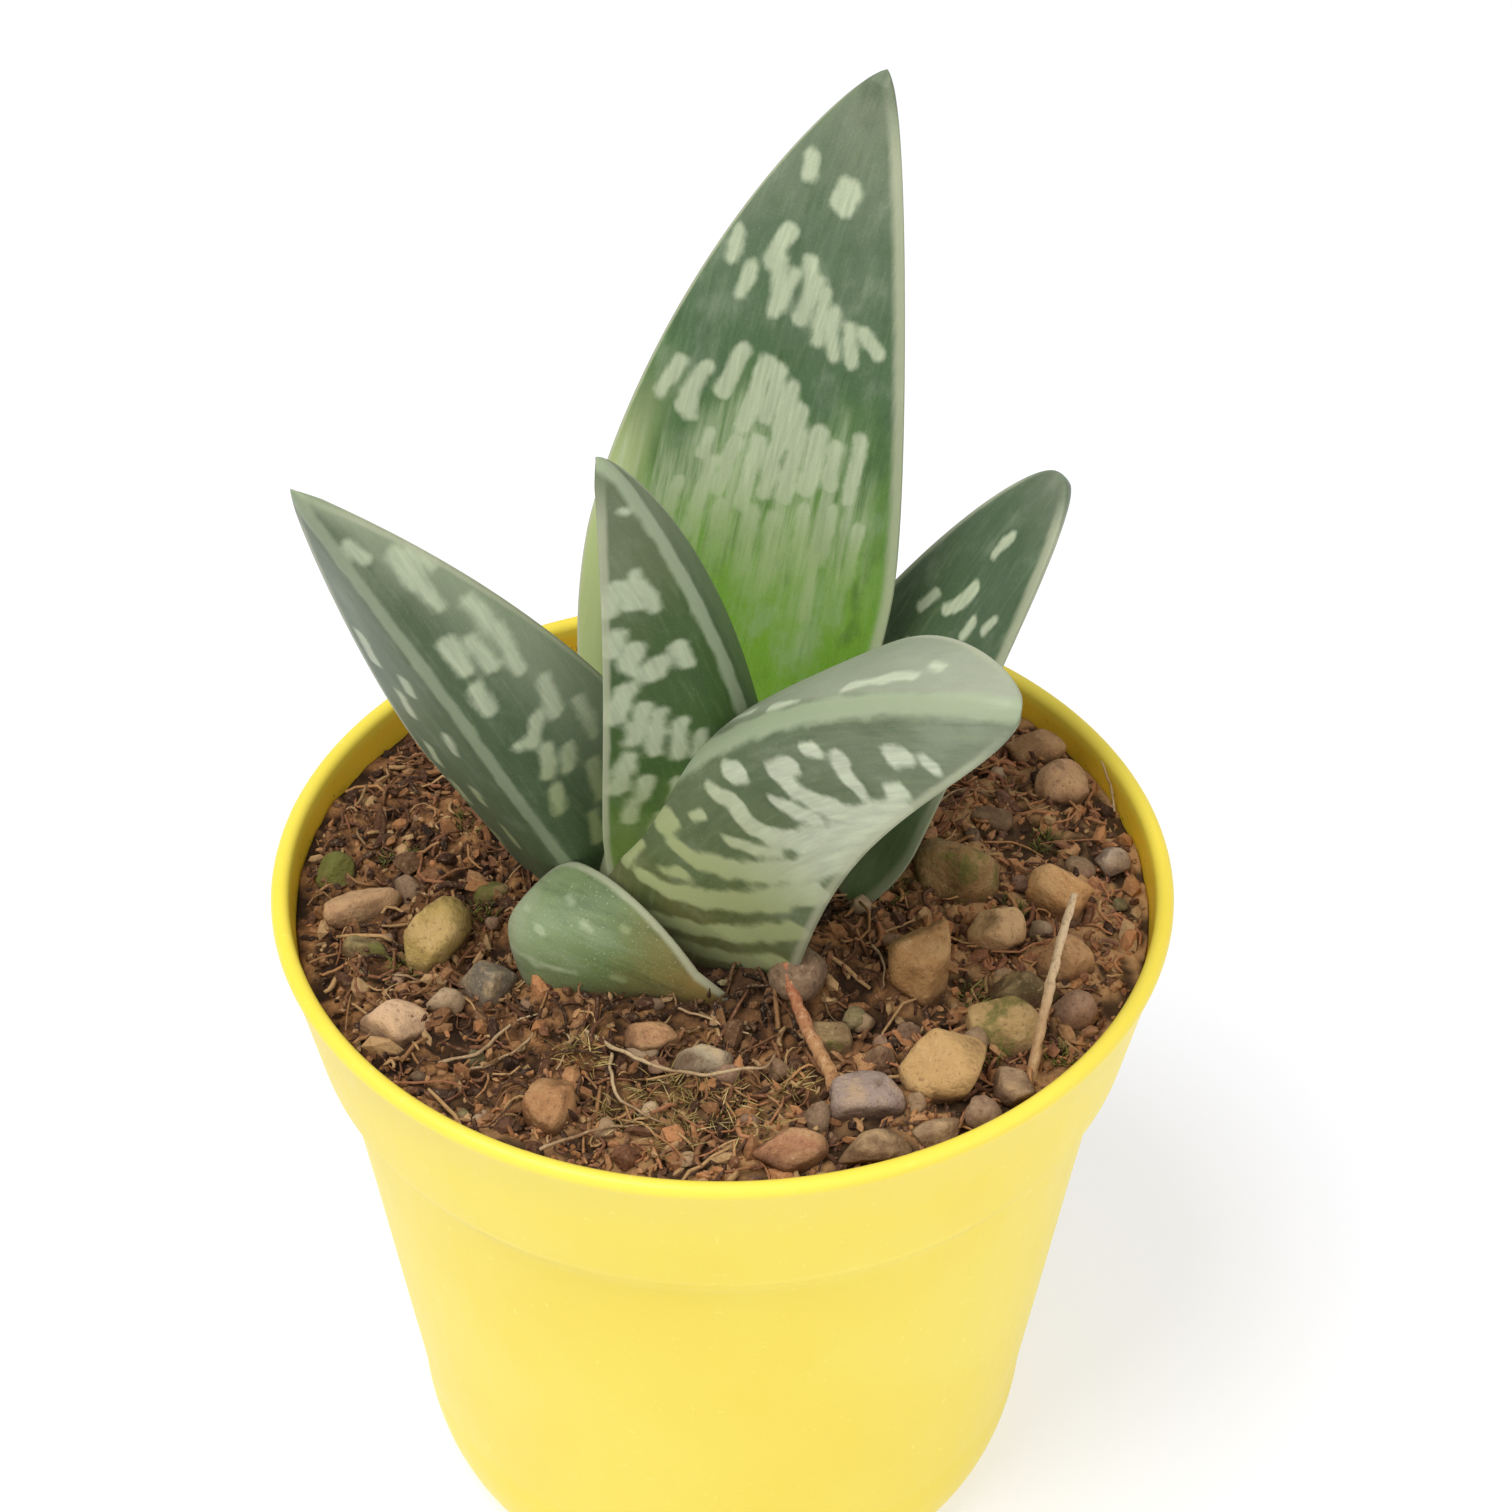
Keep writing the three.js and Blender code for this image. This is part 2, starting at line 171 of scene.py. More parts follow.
def closedTube(grid, bottom, top):
    # Points, quads and triangles of a grid (rows, columns, 3) closed by a pole at each end.
    rows, columns = grid.shape[:2]
    points = np.vstack([grid.reshape(-1, 3), [bottom], [top]])
    return points, tubeQuads(rows, columns), poleCaps(rows, columns)


def finishPiece(piece, material, nodes=()):
    # Gives a piece its material and body, and hides the frame's nodes that it stands for.
    piece.data.materials.append(material)
    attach(piece, "root")
    if nodes:
        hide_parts(*nodes)
    return piece


class Nodes:
    # Short calls for a material's nodes. A value given as a socket is linked.

    def __init__(self, name, **surface):
        self.material = bpy.data.materials.new(name)
        self.material.use_nodes = True
        self.tree = self.material.node_tree
        self.shader = self.tree.nodes["Principled BSDF"]
        for key, value in surface.items():
            self.shader.inputs[key.replace("_", " ")].default_value = value

    def add(self, kind, values=(), **settings):
        node = self.tree.nodes.new("ShaderNode" + kind)
        for key, value in settings.items():
            setattr(node, key, value)
        for key, value in dict(values).items():
            self.give(node.inputs[key], value)
        return node

    def give(self, socket, value):
        if isinstance(value, bpy.types.NodeSocket):
            self.tree.links.new(value, socket)
        elif value is not None:
            socket.default_value = value

    def into(self, key, value):
        self.give(self.shader.inputs[key], value)

    def place(self):
        return self.add("TexCoord").outputs["Object"]

    def number(self, name):
        return self.add("Attribute", attribute_name=name).outputs["Fac"]

    def vector(self, name):
        return self.add("Attribute", attribute_name=name).outputs["Vector"]

    def maths(self, operation, a, b):
        return self.add("Math", {0: a, 1: b}, operation=operation).outputs[0]

    def rise(self, value, low, high):
        # 0 below low and 1 above high, or the other way round if low is the larger.
        turned = low > high
        values = {"Value": value, "From Min": min(low, high), "From Max": max(low, high),
                  "To Min": float(turned), "To Max": float(not turned)}
        return self.add("MapRange", values, interpolation_type="SMOOTHSTEP").outputs[0]

    def stretch(self, vector, scale):
        return self.add("Mapping", {"Vector": vector, "Scale": scale}).outputs[0]

    def noise(self, vector, scale, detail=3.0, roughness=0.55):
        values = {"Vector": vector, "Scale": scale, "Detail": detail, "Roughness": roughness}
        return self.add("TexNoise", values).outputs["Fac"]

    def cells(self, vector, scale, feature="F1"):
        values = {"Vector": vector, "Scale": scale}
        return self.add("TexVoronoi", values, feature=feature).outputs["Distance"]

    def mix(self, share, a, b, blend="MIX"):
        node = self.add("Mix", data_type="RGBA", blend_type=blend)
        self.give(node.inputs[0], share)
        self.give(node.inputs[6], a)
        self.give(node.inputs[7], b)
        return node.outputs[2]

    def ramp(self, value, stops):
        node = self.add("ValToRGB", {0: value})
        knots = node.color_ramp.elements
        while len(knots) < len(stops):
            knots.new(0.5)
        for knot, (at, colour) in zip(knots, stops):
            knot.position = at
            knot.color = colour
        return node.outputs[0]

    def tint(self, tone, value, low, high, share, rgb):
        # The tone moved toward a colour, by up to a share, as a value goes from low to high.
        strength = self.maths("MULTIPLY", self.rise(value, low, high), share)
        return self.mix(strength, tone, colour(*rgb))

    def roughened(self, value, noise, size):
        # A value moved up or down by noise, by up to half of size.
        return self.maths("ADD", value, self.maths("MULTIPLY", self.maths("SUBTRACT", noise, 0.5), size))

    def roughness(self, value, low, high):
        values = {"Value": value, "To Min": low, "To Max": high}
        self.into("Roughness", self.add("MapRange", values).outputs[0])

    def bump(self, height, distance, strength, normal=None):
        values = {"Height": height, "Distance": distance, "Strength": strength, "Normal": normal}
        return self.add("Bump", values).outputs[0]


def colour(red, green, blue):
    # A colour picked as 0 to 255 on a screen, as the linear colour that a shader wants.
    parts = np.array([red, green, blue]) / 255
    linear = np.where(parts < 0.04045, parts / 12.92, ((parts + 0.055) / 1.055) ** 2.4)
    return (*linear.tolist(), 1.0)


# Places in the outline are (radius, height).
potLook = {
    "segments": 320,
    "wall": 1.2,
    "floorThickness": 1.6,
    "beadRadius": 0.85,
    "footAt": (26.75, 12),
    "footRadii": (4.9, 12),
    "outline": [(33.4, 25), (35.5, 41), (37.55, 56.1), (39.45, 58.9), (41.95, 72.05)],
    "collarBulge": (40.7, 65.4),
    "cornerRadius": 0.7,
    "soilDrop": 3,
    "wave": 0.05,
    "colour": colour(244, 221, 82),
    "deep": colour(242, 216, 70),
}

potCorner = np.array(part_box("pot")[1]) / mm
potHeight, rimRadius = potCorner[2], potCorner[0]
soilLevel = potHeight - potLook["soilDrop"]


def roundCorners(profile, radius):
    # Each inner corner of a profile becomes a short curve that starts and ends a radius away.
    profile = np.array(profile, float)
    out = [profile[0]]
    for before, corner, after in zip(profile[:-2], profile[1:-1], profile[2:]):
        reach = [min(radius, np.linalg.norm(p - corner) * 0.4) for p in (before, after)]
        a = corner + (before - corner) / np.linalg.norm(before - corner) * reach[0]
        b = corner + (after - corner) / np.linalg.norm(after - corner) * reach[1]
        out += [a * (1 - t) ** 2 + corner * 2 * t * (1 - t) + b * t * t for t in (0, 0.35, 0.65, 1)]
    return np.array(out + [profile[-1]])


def arc(middle, radii, start, end, count):
    # Points along an ellipse from one angle to another, in degrees.
    turn = np.radians(np.linspace(start, end, count))
    return [(middle[0] + radii[0] * math.cos(a), middle[1] + radii[1] * math.sin(a)) for a in turn]


def innerWall(level):
    # Radius of the pot's inner wall at a height, from the collar's and body's straight runs.
    radii, levels = zip((26, 0), (31.65, 12), *potLook["outline"][2:])
    return np.interp(level, levels, radii) - potLook["wall"]


def makePot(look):
    # One profile, up the outside, over the rim's bead and down the inside, turned round the axis.
    wall, beadRadius, corner = look["wall"], look["beadRadius"], look["cornerRadius"]
    footWide, footHigh = look["footRadii"]
    foot = arc(look["footAt"], look["footRadii"], -90, 0, 14)
    outside = foot + look["outline"][:-1] + [look["collarBulge"], look["outline"][-1]]
    bead = arc((rimRadius - beadRadius, potHeight - beadRadius), (beadRadius, beadRadius), -20, 180, 14)
    inside = [(radius - wall, level) for radius, level in reversed(look["outline"])]
    inside += arc(look["footAt"], (footWide - wall, footHigh - look["floorThickness"]), 0, -90, 10)
    inside = roundCorners(inside, corner)
    profile = np.vstack([roundCorners(outside, corner), bead, inside])
    turn = np.linspace(0, 2 * np.pi, look["segments"], endpoint=False)
    radius, level = profile[:, 0][:, None], profile[:, 1][:, None]
    # A slow wave, as thin moulded plastic has, faint at the base and the rim.
    wave = look["wave"] * np.sin(3 * turn + 0.6) * np.sin(np.pi * np.clip(level / potHeight, 0, 1))
    grid = np.stack([(radius + wave) * np.cos(turn), (radius + wave) * np.sin(turn), level + 0 * turn], -1)
    points, quads, caps = closedTube(grid, (0, 0, 0), (0, 0, look["floorThickness"]))
    pot = fillMesh("pot_shell", points, quads, caps)
    inner = np.zeros(len(profile))
    inner[-len(inside):] = 1
    keepValues(pot, inner=np.append(np.repeat(inner, look["segments"]), [0, 1]))
    return finishPiece(pot, potMaterial(look), ["pot"])


def potMaterial(look):
    n = Nodes("yellow_plastic", Specular_IOR_Level=0.32, Subsurface_Weight=0.12,
              Subsurface_Radius=(1.0, 0.8, 0.15), Subsurface_Scale=0.003, Coat_Weight=0.05)
    place = n.place()
    cloud = n.noise(place, 38, 2.0)
    tone = n.mix(n.rise(cloud, 0.35, 0.7), look["colour"], look["deep"])
    fine = n.noise(place, 900, 3.0, 0.7)
    tone = n.mix(n.rise(fine, 0.62, 0.8), tone, colour(255, 236, 120))
    # Potting dust that clings to the inner wall and the top of the rim.
    level = n.add("SeparateXYZ", {0: place}).outputs[2]
    inner = n.number("inner")
    low = n.rise(level, (potHeight - 0.4) * mm, (soilLevel - 0.4) * mm)
    crumbs = n.rise(n.noise(place, 1500, 4.0, 0.65), 0.62, 0.7)
    dust = n.maths("MULTIPLY", n.maths("MULTIPLY", crumbs, low), inner)
    # Painted shade: the whole inner wall, the same plastic as the outside, is deepened to orange.
    tone = n.mix(n.maths("MULTIPLY", inner, 0.55), tone, colour(236, 182, 14))
    tone = n.mix(n.maths("MULTIPLY", dust, 0.7), tone, colour(120, 82, 40))
    n.into("Base Color", tone)
    scuff = n.noise(n.stretch(place, (1, 1, 0.12)), 520, 4.0, 0.7)
    n.roughness(scuff, 0.3, 0.52)
    n.into("Normal", n.bump(n.noise(place, 260, 3.0), 0.00004, 0.35,
                            n.bump(n.noise(place, 2400, 2.0), 0.00001, 0.5)))
    return n.material


makePot(potLook)
print("pot made")


soilLook = {
    "rings": 150,
    "segments": 440,
    "clearance": 0.3,
    "footRadii": (3.4, 10.1),
    "shoulder": [(35.9, 56.1), (37.9, 58.9)],
    "collarLevels": (64, 68, 69.6),
    "crown": 0.7,
    "clump": (6.5, 0.8),
    "lump": (2.4, 0.7),
    "grain": (0.95, 0.36),
    "heaps": [(6.5, -13.5, 3.6, 2.7), (-11, -13, 4.5, 1.3), (-1, -17, 4, 0.4), (15, -4, 5, 1.0)],
    "seed": 11,
}
soilRadius = float(innerWall(soilLevel + 0.4)) - soilLook["clearance"]


def soilHeight(x, y, look=soilLook):
    # The soil's level: a low crown, with clumps, lumps and grains of noise, lower along the wall.
    x, y = np.asarray(x, float), np.asarray(y, float)
    share = np.hypot(x, y) / soilRadius
    spot = flatPoints(x, y)
    rough = sum(size * softNoise(spot, cell, look["seed"] + k)
                for k, (cell, size) in enumerate([look["clump"], look["lump"], look["grain"]]))
    ridge = 0.5 - np.abs(softNoise(spot, 1.7, look["seed"] + 5))
    edge = 1 - smoothStep(0.9, 1.0, share)
    back = smoothStep(5, 34, y) * smoothStep(0, 30, -x + 12)
    heap = sum(lift * np.exp(-((x - hx) ** 2 + (y - hy) ** 2) / (2 * wide ** 2))
               for hx, hy, wide, lift in look["heaps"])
    return (soilLevel + look["crown"] * (1 - share ** 2)
            + (rough + 0.5 * ridge) * (0.35 + 0.65 * edge) - 0.5 * (1 - edge) - 0.9 * back + heap)


def paintedGroundLight(x, y):
    # How light the ground is painted: painted light to the right, lighter to the front, and painted shade
    # under the stub leaf and the crown.
    underStub = 0.5 * np.exp(-((x - 1.5) ** 2 / 110 + (y + 16.5) ** 2 / 22))
    underCrown = 0.3 * np.exp(-(x ** 2 + y ** 2) / 220)
    right = 0.85 * smoothStep(4, 26, x) * smoothStep(-40, -8, y)
    front = 0.5 * smoothStep(-22, -36, y)
    return (1 + right + front) * (1 - underStub - underCrown)


def makeSoil(look):
    turn = np.linspace(0, 2 * np.pi, look["segments"], endpoint=False)
    # From the floor of the pot up beside its wall, then over the top to the middle.
    foot = arc(potLook["footAt"], look["footRadii"], -90, 0, 8)
    collar = [(float(innerWall(z)) - look["clearance"], z) for z in look["collarLevels"]]
    side = np.array(foot + look["shoulder"] + collar)
    radii = soilRadius * np.linspace(1, 0.006, look["rings"]) ** 0.9
    x, y = radii[:, None] * np.cos(turn), radii[:, None] * np.sin(turn)
    top = np.stack([x, y, soilHeight(x, y)], -1)
    wall = np.stack([side[:, :1] * np.cos(turn), side[:, :1] * np.sin(turn), side[:, 1:] + 0 * turn], -1)
    grid = np.vstack([wall, top])
    bottom = potLook["floorThickness"] + look["clearance"]
    points, quads, caps = closedTube(grid, (0, 0, bottom), (0, 0, float(soilHeight(0, 0))))
    soil = fillMesh("potting_soil", points, quads, caps)
    spot = flatPoints(points[:, 0], points[:, 1])
    ridge = softNoise(spot, 1.7, look["seed"] + 5)
    grain = softNoise(spot, look["grain"][0], look["seed"] + 2)
    lift = 0.5 * grain + softNoise(spot, look["lump"][0], look["seed"] + 1)
    # The ground's painted light and painted shade, kept for the soil's material.
    keepValues(soil, lift=lift - 0.6 * np.abs(ridge), shade=paintedGroundLight(points[:, 0], points[:, 1]) - 1)
    return finishPiece(soil, soilMaterial(), ["soil"])


def soilMaterial():
    n = Nodes("potting_soil", Roughness=0.95, Specular_IOR_Level=0.2)
    place = n.place()
    tone = n.ramp(n.noise(place, 420, 5.0, 0.7), [
        (0.28, colour(52, 34, 22)), (0.42, colour(98, 66, 40)), (0.55, colour(144, 102, 64)),
        (0.68, colour(172, 128, 82)), (0.8, colour(196, 158, 114))])
    # Reddish patches, then green ones.
    tone = n.tint(tone, n.noise(place, 70, 2.0), 0.48, 0.66, 0.35, (108, 70, 46))
    tone = n.tint(tone, n.noise(place, 62, 4.0, 0.65), 0.6, 0.74, 0.5, (96, 98, 44))
    # Painted light where the map is above 0, lighter and tan, and painted shade where it is below 0.
    tone = n.mix(n.rise(n.number("shade"), 0.0, 0.8), tone, n.mix(0.7, tone, colour(206, 160, 110)))
    tone = n.mix(n.rise(n.number("shade"), 0.0, -0.8), tone, colour(44, 30, 20))
    tone = n.tint(tone, n.number("lift"), 0.25, -0.8, 0.85, (28, 18, 13))  # painted shade in the pits
    n.into("Base Color", tone)
    grain = n.bump(n.noise(place, 1400, 5.0, 0.75), 0.0004, 0.9)
    n.into("Normal", n.bump(n.cells(place, 1100), 0.0003, 0.7, grain))
    return n.material


makeSoil(soilLook)
print("soil made")


leafLook = {
    "around": 200,
    "stations": 290,
    "tipCrowding": 1.6,
    "footLength": 4.5,
    "margin": 0.45,
    "thinning": 0.35,
    "furrows": 0.035,
    "unevenness": 0.14,
    "melt": 0.2,
}

# What a leaf has where its own list below doesn't say otherwise.
usualLeaf = {
    "bow": 0, "sway": 0, "taper": 0, "foldBulge": 0, "keelSoft": 0.3, "swell": 1.1, "blur": 0.28,
    "fade": (0.0, 0.25), "paleness": 0.88, "palest": (194, 203, 170), "paleBase": (158, 170, 118),
    "bloom": 0.3, "speckle": 0.14, "keelShare": 0.75,
}

# Each leaf's axis leans and turns along its length, and its folded section does the
# rest. A mark is (width, (along, across), ...): along runs 0 to 1 from the root, and
# across runs -1 to 1 from margin to margin.
leaves = {
    "tall_leaf": {
        "root": (-2, 5.5, 0.3), "heading": 73, "sweep": -29, "lean": 15, "curl": 18,
        "turn": -14, "twist": -1, "length": 76, "width": 29.5, "footWidth": 0.64,
        "widest": 0.38, "shoulder": 1.5, "point": 0.76, "fold": (0.5, 0.35), "thickness": 4.4,
        "marked": "inner", "rim": (1.15, 0.3), "keel": 0, "swell": 1.4, "haze": (0.27, 0.43, 0.5, 0.6),
        "blur": 0.36, "paleness": 0.76, "fade": (0.3, 0.5),
        "wash": {"across": (0.66, 0.9), "along": (0.62, 0.4), "share": 0.85, "tone": (184, 192, 136)},
        "marks": [
            (1.0, (0.855, 0.5), (0.875, 0.6)), (1.7, (0.84, -0.1), (0.85, -0.18)),
            (1.1, (0.86, -0.06), (0.85, -0.1)), (0.9, (0.83, -0.2), (0.835, -0.22)),
            (1.0, (0.735, 0.8), (0.765, 0.86)), (1.1, (0.745, 0.42), (0.785, 0.38)),
            (0.9, (0.7, 0.56), (0.73, 0.56)), (1.0, (0.75, 0.34), (0.7, 0.2)),
            (0.9, (0.74, 0.14), (0.69, 0.24)), (0.9, (0.76, 0.04), (0.71, -0.04)),
            (0.9, (0.74, -0.1), (0.69, -0.02)), (0.9, (0.73, -0.18), (0.67, -0.2)),
            (0.9, (0.71, -0.3), (0.66, -0.36)), (0.9, (0.7, -0.46), (0.66, -0.52)),
            (0.9, (0.7, -0.6), (0.68, -0.76)), (0.9, (0.56, 0.82), (0.6, 0.78)),
            (1.0, (0.55, 0.66), (0.6, 0.58)), (0.9, (0.54, 0.58), (0.57, 0.62)),
            (1.2, (0.58, 0.42), (0.63, 0.36)), (1.3, (0.545, 0.2), (0.625, 0.16)),
            (1.2, (0.56, 0.06), (0.62, 0.04)), (1.2, (0.55, -0.06), (0.605, -0.08)),
            (1.1, (0.54, -0.16), (0.58, -0.2)), (1.0, (0.5, 0.42), (0.525, 0.4)),
            (1.2, (0.46, 0.26), (0.52, 0.22)), (1.2, (0.45, 0.1), (0.53, 0.06)),
            (1.2, (0.47, -0.04), (0.54, -0.08)), (1.2, (0.47, -0.18), (0.55, -0.22)),
            (1.4, (0.49, -0.32), (0.56, -0.36)), (1.1, (0.5, -0.48), (0.55, -0.5)),
            (1.0, (0.49, -0.62), (0.57, -0.68)), (1.1, (0.4, 0.38), (0.49, 0.34)),
            (1.0, (0.38, 0.54), (0.46, 0.52)), (1.3, (0.36, 0.22), (0.44, 0.2)),
            (1.2, (0.36, 0.02), (0.44, 0.0)), (1.2, (0.38, -0.14), (0.44, -0.16)),
            (1.1, (0.38, -0.32), (0.46, -0.34)), (1.0, (0.4, -0.5), (0.47, -0.52)),
            (0.9, (0.38, -0.68), (0.46, -0.72)),
        ],
        "tones": [
            (0.0, (104, 140, 34)), (0.26, (100, 142, 36)), (0.4, (104, 142, 58)), (0.5, (82, 116, 54)),
            (0.62, (72, 98, 62)), (0.8, (86, 104, 76)), (0.9, (104, 116, 90)), (1.0, (112, 118, 96)),
        ],
    },
    "centre_leaf": {
        "root": (-3, 1.1, -2), "heading": 256, "sweep": -16, "lean": 9.5, "curl": 14,
        "turn": -64, "twist": -32, "length": 63.9, "width": 22.8, "footWidth": 0.8,
        "widest": 0.33, "shoulder": 1.35, "point": 0.81, "fold": (0.85, 0.74), "thickness": 4.2,
        "marked": "outer", "rim": (0.35, 0.5), "keel": 1.5, "bloom": 0.14, "blur": 0.36,
        "swell": 1.0, "paleness": 0.8,
        "marks": [
            (0.5, (0.92, -0.5), (0.915, -0.42)), (0.9, (0.77, -0.96), (0.81, -0.86)),
            (0.9, (0.81, -0.82), (0.77, -0.74)), (0.9, (0.77, -0.7), (0.82, -0.62)),
            (0.9, (0.8, -0.56), (0.75, -0.48)), (0.8, (0.775, -0.78), (0.765, -0.6)),
            (1.2, (0.7, -0.94), (0.73, -0.88)), (1.4, (0.67, -0.82), (0.7, -0.74)),
            (1.5, (0.64, -0.66), (0.66, -0.58)), (0.9, (0.66, -0.8), (0.645, -0.62)),
            (1.2, (0.64, -0.34), (0.675, -0.38)), (1.4, (0.58, -0.94), (0.63, -0.84)),
            (1.2, (0.53, -0.82), (0.59, -0.74)), (1.2, (0.5, -0.7), (0.57, -0.64)),
            (1.1, (0.48, -0.56), (0.54, -0.5)), (1.0, (0.47, -0.42), (0.51, -0.38)),
            (0.8, (0.56, -0.8), (0.53, -0.6)), (1.2, (0.44, -0.92), (0.5, -0.86)),
            (1.0, (0.41, -0.8), (0.45, -0.76)), (1.0, (0.37, -0.88), (0.41, -0.84)),
            (0.9, (0.38, -0.6), (0.43, -0.58)), (0.9, (0.33, -0.72), (0.37, -0.7)),
        ],
        "tones": [
            (0.0, (128, 146, 62)), (0.26, (98, 126, 48)), (0.45, (54, 86, 26)), (0.66, (58, 84, 34)),
            (0.84, (88, 102, 64)), (1.0, (104, 112, 84)),
        ],
    },
    "left_leaf": {
        "root": (-7.4, 2.3, -3.5), "heading": 208.5, "sweep": 3.5, "lean": 22, "curl": 13.5,
        "turn": -49.5, "twist": 0, "length": 66.8, "width": 22.4, "footWidth": 0.89,
        "widest": 0.4, "shoulder": 1.5, "point": 0.89, "fold": (0.67, 0.54), "thickness": 4.4,
        "marked": "outer", "rim": (0.7, 0.3), "keel": 1.3, "keelShare": 0.5, "bloom": 0.2, "blur": 0.38,
        "swell": 1.12, "paleness": 0.78,
        "wash": {"across": (0.3, 0.95), "along": (0.1, 0.3), "share": 0.45, "tone": (172, 184, 150)},
        "marks": [
            (1.0, (0.66, -0.76), (0.72, -0.72)), (1.0, (0.55, -0.66), (0.6, -0.62)),
            (0.9, (0.5, -0.34), (0.54, -0.3)), (1.0, (0.31, -0.86), (0.36, -0.8)),
            (0.9, (0.36, -0.5), (0.4, -0.46)), (1.1, (0.17, -0.94), (0.22, -0.86)),
            (0.9, (0.42, -0.78), (0.47, -0.72)), (0.8, (0.25, -0.5), (0.3, -0.5)),
            (0.8, (0.62, -0.42), (0.65, -0.4)), (1.1, (0.75, 0.6), (0.8, 0.66), (0.85, 0.8)),
            (0.9, (0.8, 0.95), (0.84, 0.93)), (0.8, (0.87, 0.4), (0.9, 0.42)),
            (1.3, (0.65, 0.34), (0.7, 0.38)), (1.2, (0.63, 0.52), (0.68, 0.56)),
            (1.1, (0.68, 0.76), (0.73, 0.84)), (1.0, (0.64, 0.72), (0.67, 0.78)),
            (1.3, (0.575, 0.26), (0.615, 0.3)), (1.1, (0.6, 0.66), (0.63, 0.7)),
            (1.1, (0.52, 0.5), (0.49, 0.38)), (1.0, (0.49, 0.38), (0.5, 0.28)),
            (1.1, (0.43, 0.32), (0.47, 0.42)), (1.1, (0.42, 0.46), (0.45, 0.54)),
            (1.0, (0.51, 0.62), (0.56, 0.72)), (1.0, (0.36, 0.24), (0.4, 0.3)),
            (1.0, (0.34, 0.52), (0.4, 0.6)), (0.9, (0.27, 0.34), (0.32, 0.4)),
            (0.9, (0.44, 0.72), (0.5, 0.8)),
        ],
        "tones": [
            (0.0, (96, 116, 58)), (0.2, (66, 90, 48)), (0.45, (68, 88, 58)), (0.7, (80, 96, 66)),
            (0.88, (92, 104, 78)), (1.0, (104, 110, 90)),
        ],
    },
    "back_right_leaf": {
        "root": (7.3, 2, 0), "heading": 34, "sweep": -13.5, "lean": 30.5, "curl": 10.5,
        "turn": -5, "twist": 12.5, "length": 46, "width": 22.5, "footWidth": 0.7,
        "widest": 0.22, "shoulder": 1.9, "point": 0.49, "fold": (0.5, 0.4), "thickness": 4.2,
        "marked": "inner", "rim": (1.1, 0.8), "keel": 0,
        "marks": [
            (1.1, (0.79, 0.04), (0.82, 0.0), (0.84, -0.06)),
            (1.2, (0.63, 0.2), (0.67, 0.08), (0.71, 0.02)), (1.1, (0.62, -0.2), (0.66, -0.24)),
            (1.0, (0.67, -0.5), (0.7, -0.56)), (1.0, (0.6, 0.5), (0.64, 0.44)),
            (1.0, (0.54, 0.0), (0.58, -0.04)), (1.0, (0.46, 0.4), (0.52, 0.36)),
            (1.0, (0.44, -0.4), (0.5, -0.44)), (1.0, (0.36, 0.1), (0.42, 0.08)),
        ],
        "tones": [
            (0.0, (112, 130, 84)), (0.35, (90, 108, 74)), (0.6, (66, 88, 54)), (0.85, (72, 94, 64)),
            (1.0, (104, 114, 92)),
        ],
    },
    "front_right_leaf": {
        "root": (-2, -1, -1), "heading": 339, "sweep": -28, "lean": 37.5, "curl": 23,
        "bow": -13, "sway": -22, "turn": 126, "twist": -5, "length": 62, "width": 27,
        "footWidth": 0.89, "widest": 0.21, "shoulder": 5, "point": 0.5, "taper": 0.54,
        "fold": (1.09, 0.48), "foldBulge": 0.3, "thickness": 4.8,
        "marked": "outer", "rim": (0.35, 0.45), "keel": 2.1, "palest": (202, 209, 180),
        "paleBase": (164, 173, 120), "fade": (0.03, 0.22),
        # Painted light: the upper half, which faces up to the lamp, is washed pale grey, with some grey
        # bloom.
        "wash": {"across": (-0.03, -0.22), "along": (0.2, 0.55), "share": 0.32, "tone": (204, 208, 186)},
        "marks": [
            (0.7, (0.6, -0.16), (0.66, -0.14)), (0.8, (0.74, -0.26), (0.8, -0.36), (0.84, -0.4)),
            (0.7, (0.85, -0.6), (0.87, -0.58)), (0.7, (0.5, -0.24), (0.55, -0.22)),
            (1.7, (0.32, 0.22), (0.34, 0.23)), (1.3, (0.45, 0.27), (0.455, 0.3)),
            (1.6, (0.5, 0.24), (0.52, 0.26)), (1.5, (0.71, 0.46), (0.705, 0.52)),
            (1.4, (0.7, 0.58), (0.705, 0.66)), (1.2, (0.7, 0.5), (0.7, 0.6)),
            (1.5, (0.8, 0.54), (0.82, 0.58)), (1.2, (0.85, 0.7), (0.855, 0.78)),
            (1.3, (0.76, 0.8), (0.78, 0.84)),
            (1.5, (0.6, 0.38), (0.59, 0.48), (0.605, 0.6), (0.64, 0.74), (0.67, 0.86), (0.76, 0.96)),
            (1.3, (0.58, 0.36), (0.62, 0.36)),
            (1.7, (0.47, 0.38), (0.46, 0.5), (0.475, 0.62), (0.52, 0.76), (0.6, 0.88), (0.72, 0.99)),
            (1.5, (0.31, 0.34), (0.315, 0.44), (0.34, 0.54), (0.39, 0.68), (0.46, 0.82), (0.58, 0.97)),
            (1.4, (0.21, 0.28), (0.22, 0.4), (0.245, 0.52), (0.29, 0.66), (0.36, 0.8), (0.46, 0.95)),
            (1.3, (0.14, 0.4), (0.17, 0.54), (0.21, 0.68), (0.27, 0.82), (0.34, 0.96)),
            (1.2, (0.1, 0.5), (0.13, 0.64), (0.17, 0.8), (0.24, 0.95)),
            (0.9, (0.54, 0.5), (0.56, 0.6), (0.59, 0.7)), (0.8, (0.4, 0.5), (0.42, 0.6), (0.46, 0.7)),
            (1.0, (0.66, 0.3), (0.68, 0.32)), (0.9, (0.25, 0.36), (0.27, 0.42)),
            (0.7, (0.2, 0.16), (0.26, 0.18)), (0.7, (0.38, 0.3), (0.4, 0.32)),
        ],
        "tones": [
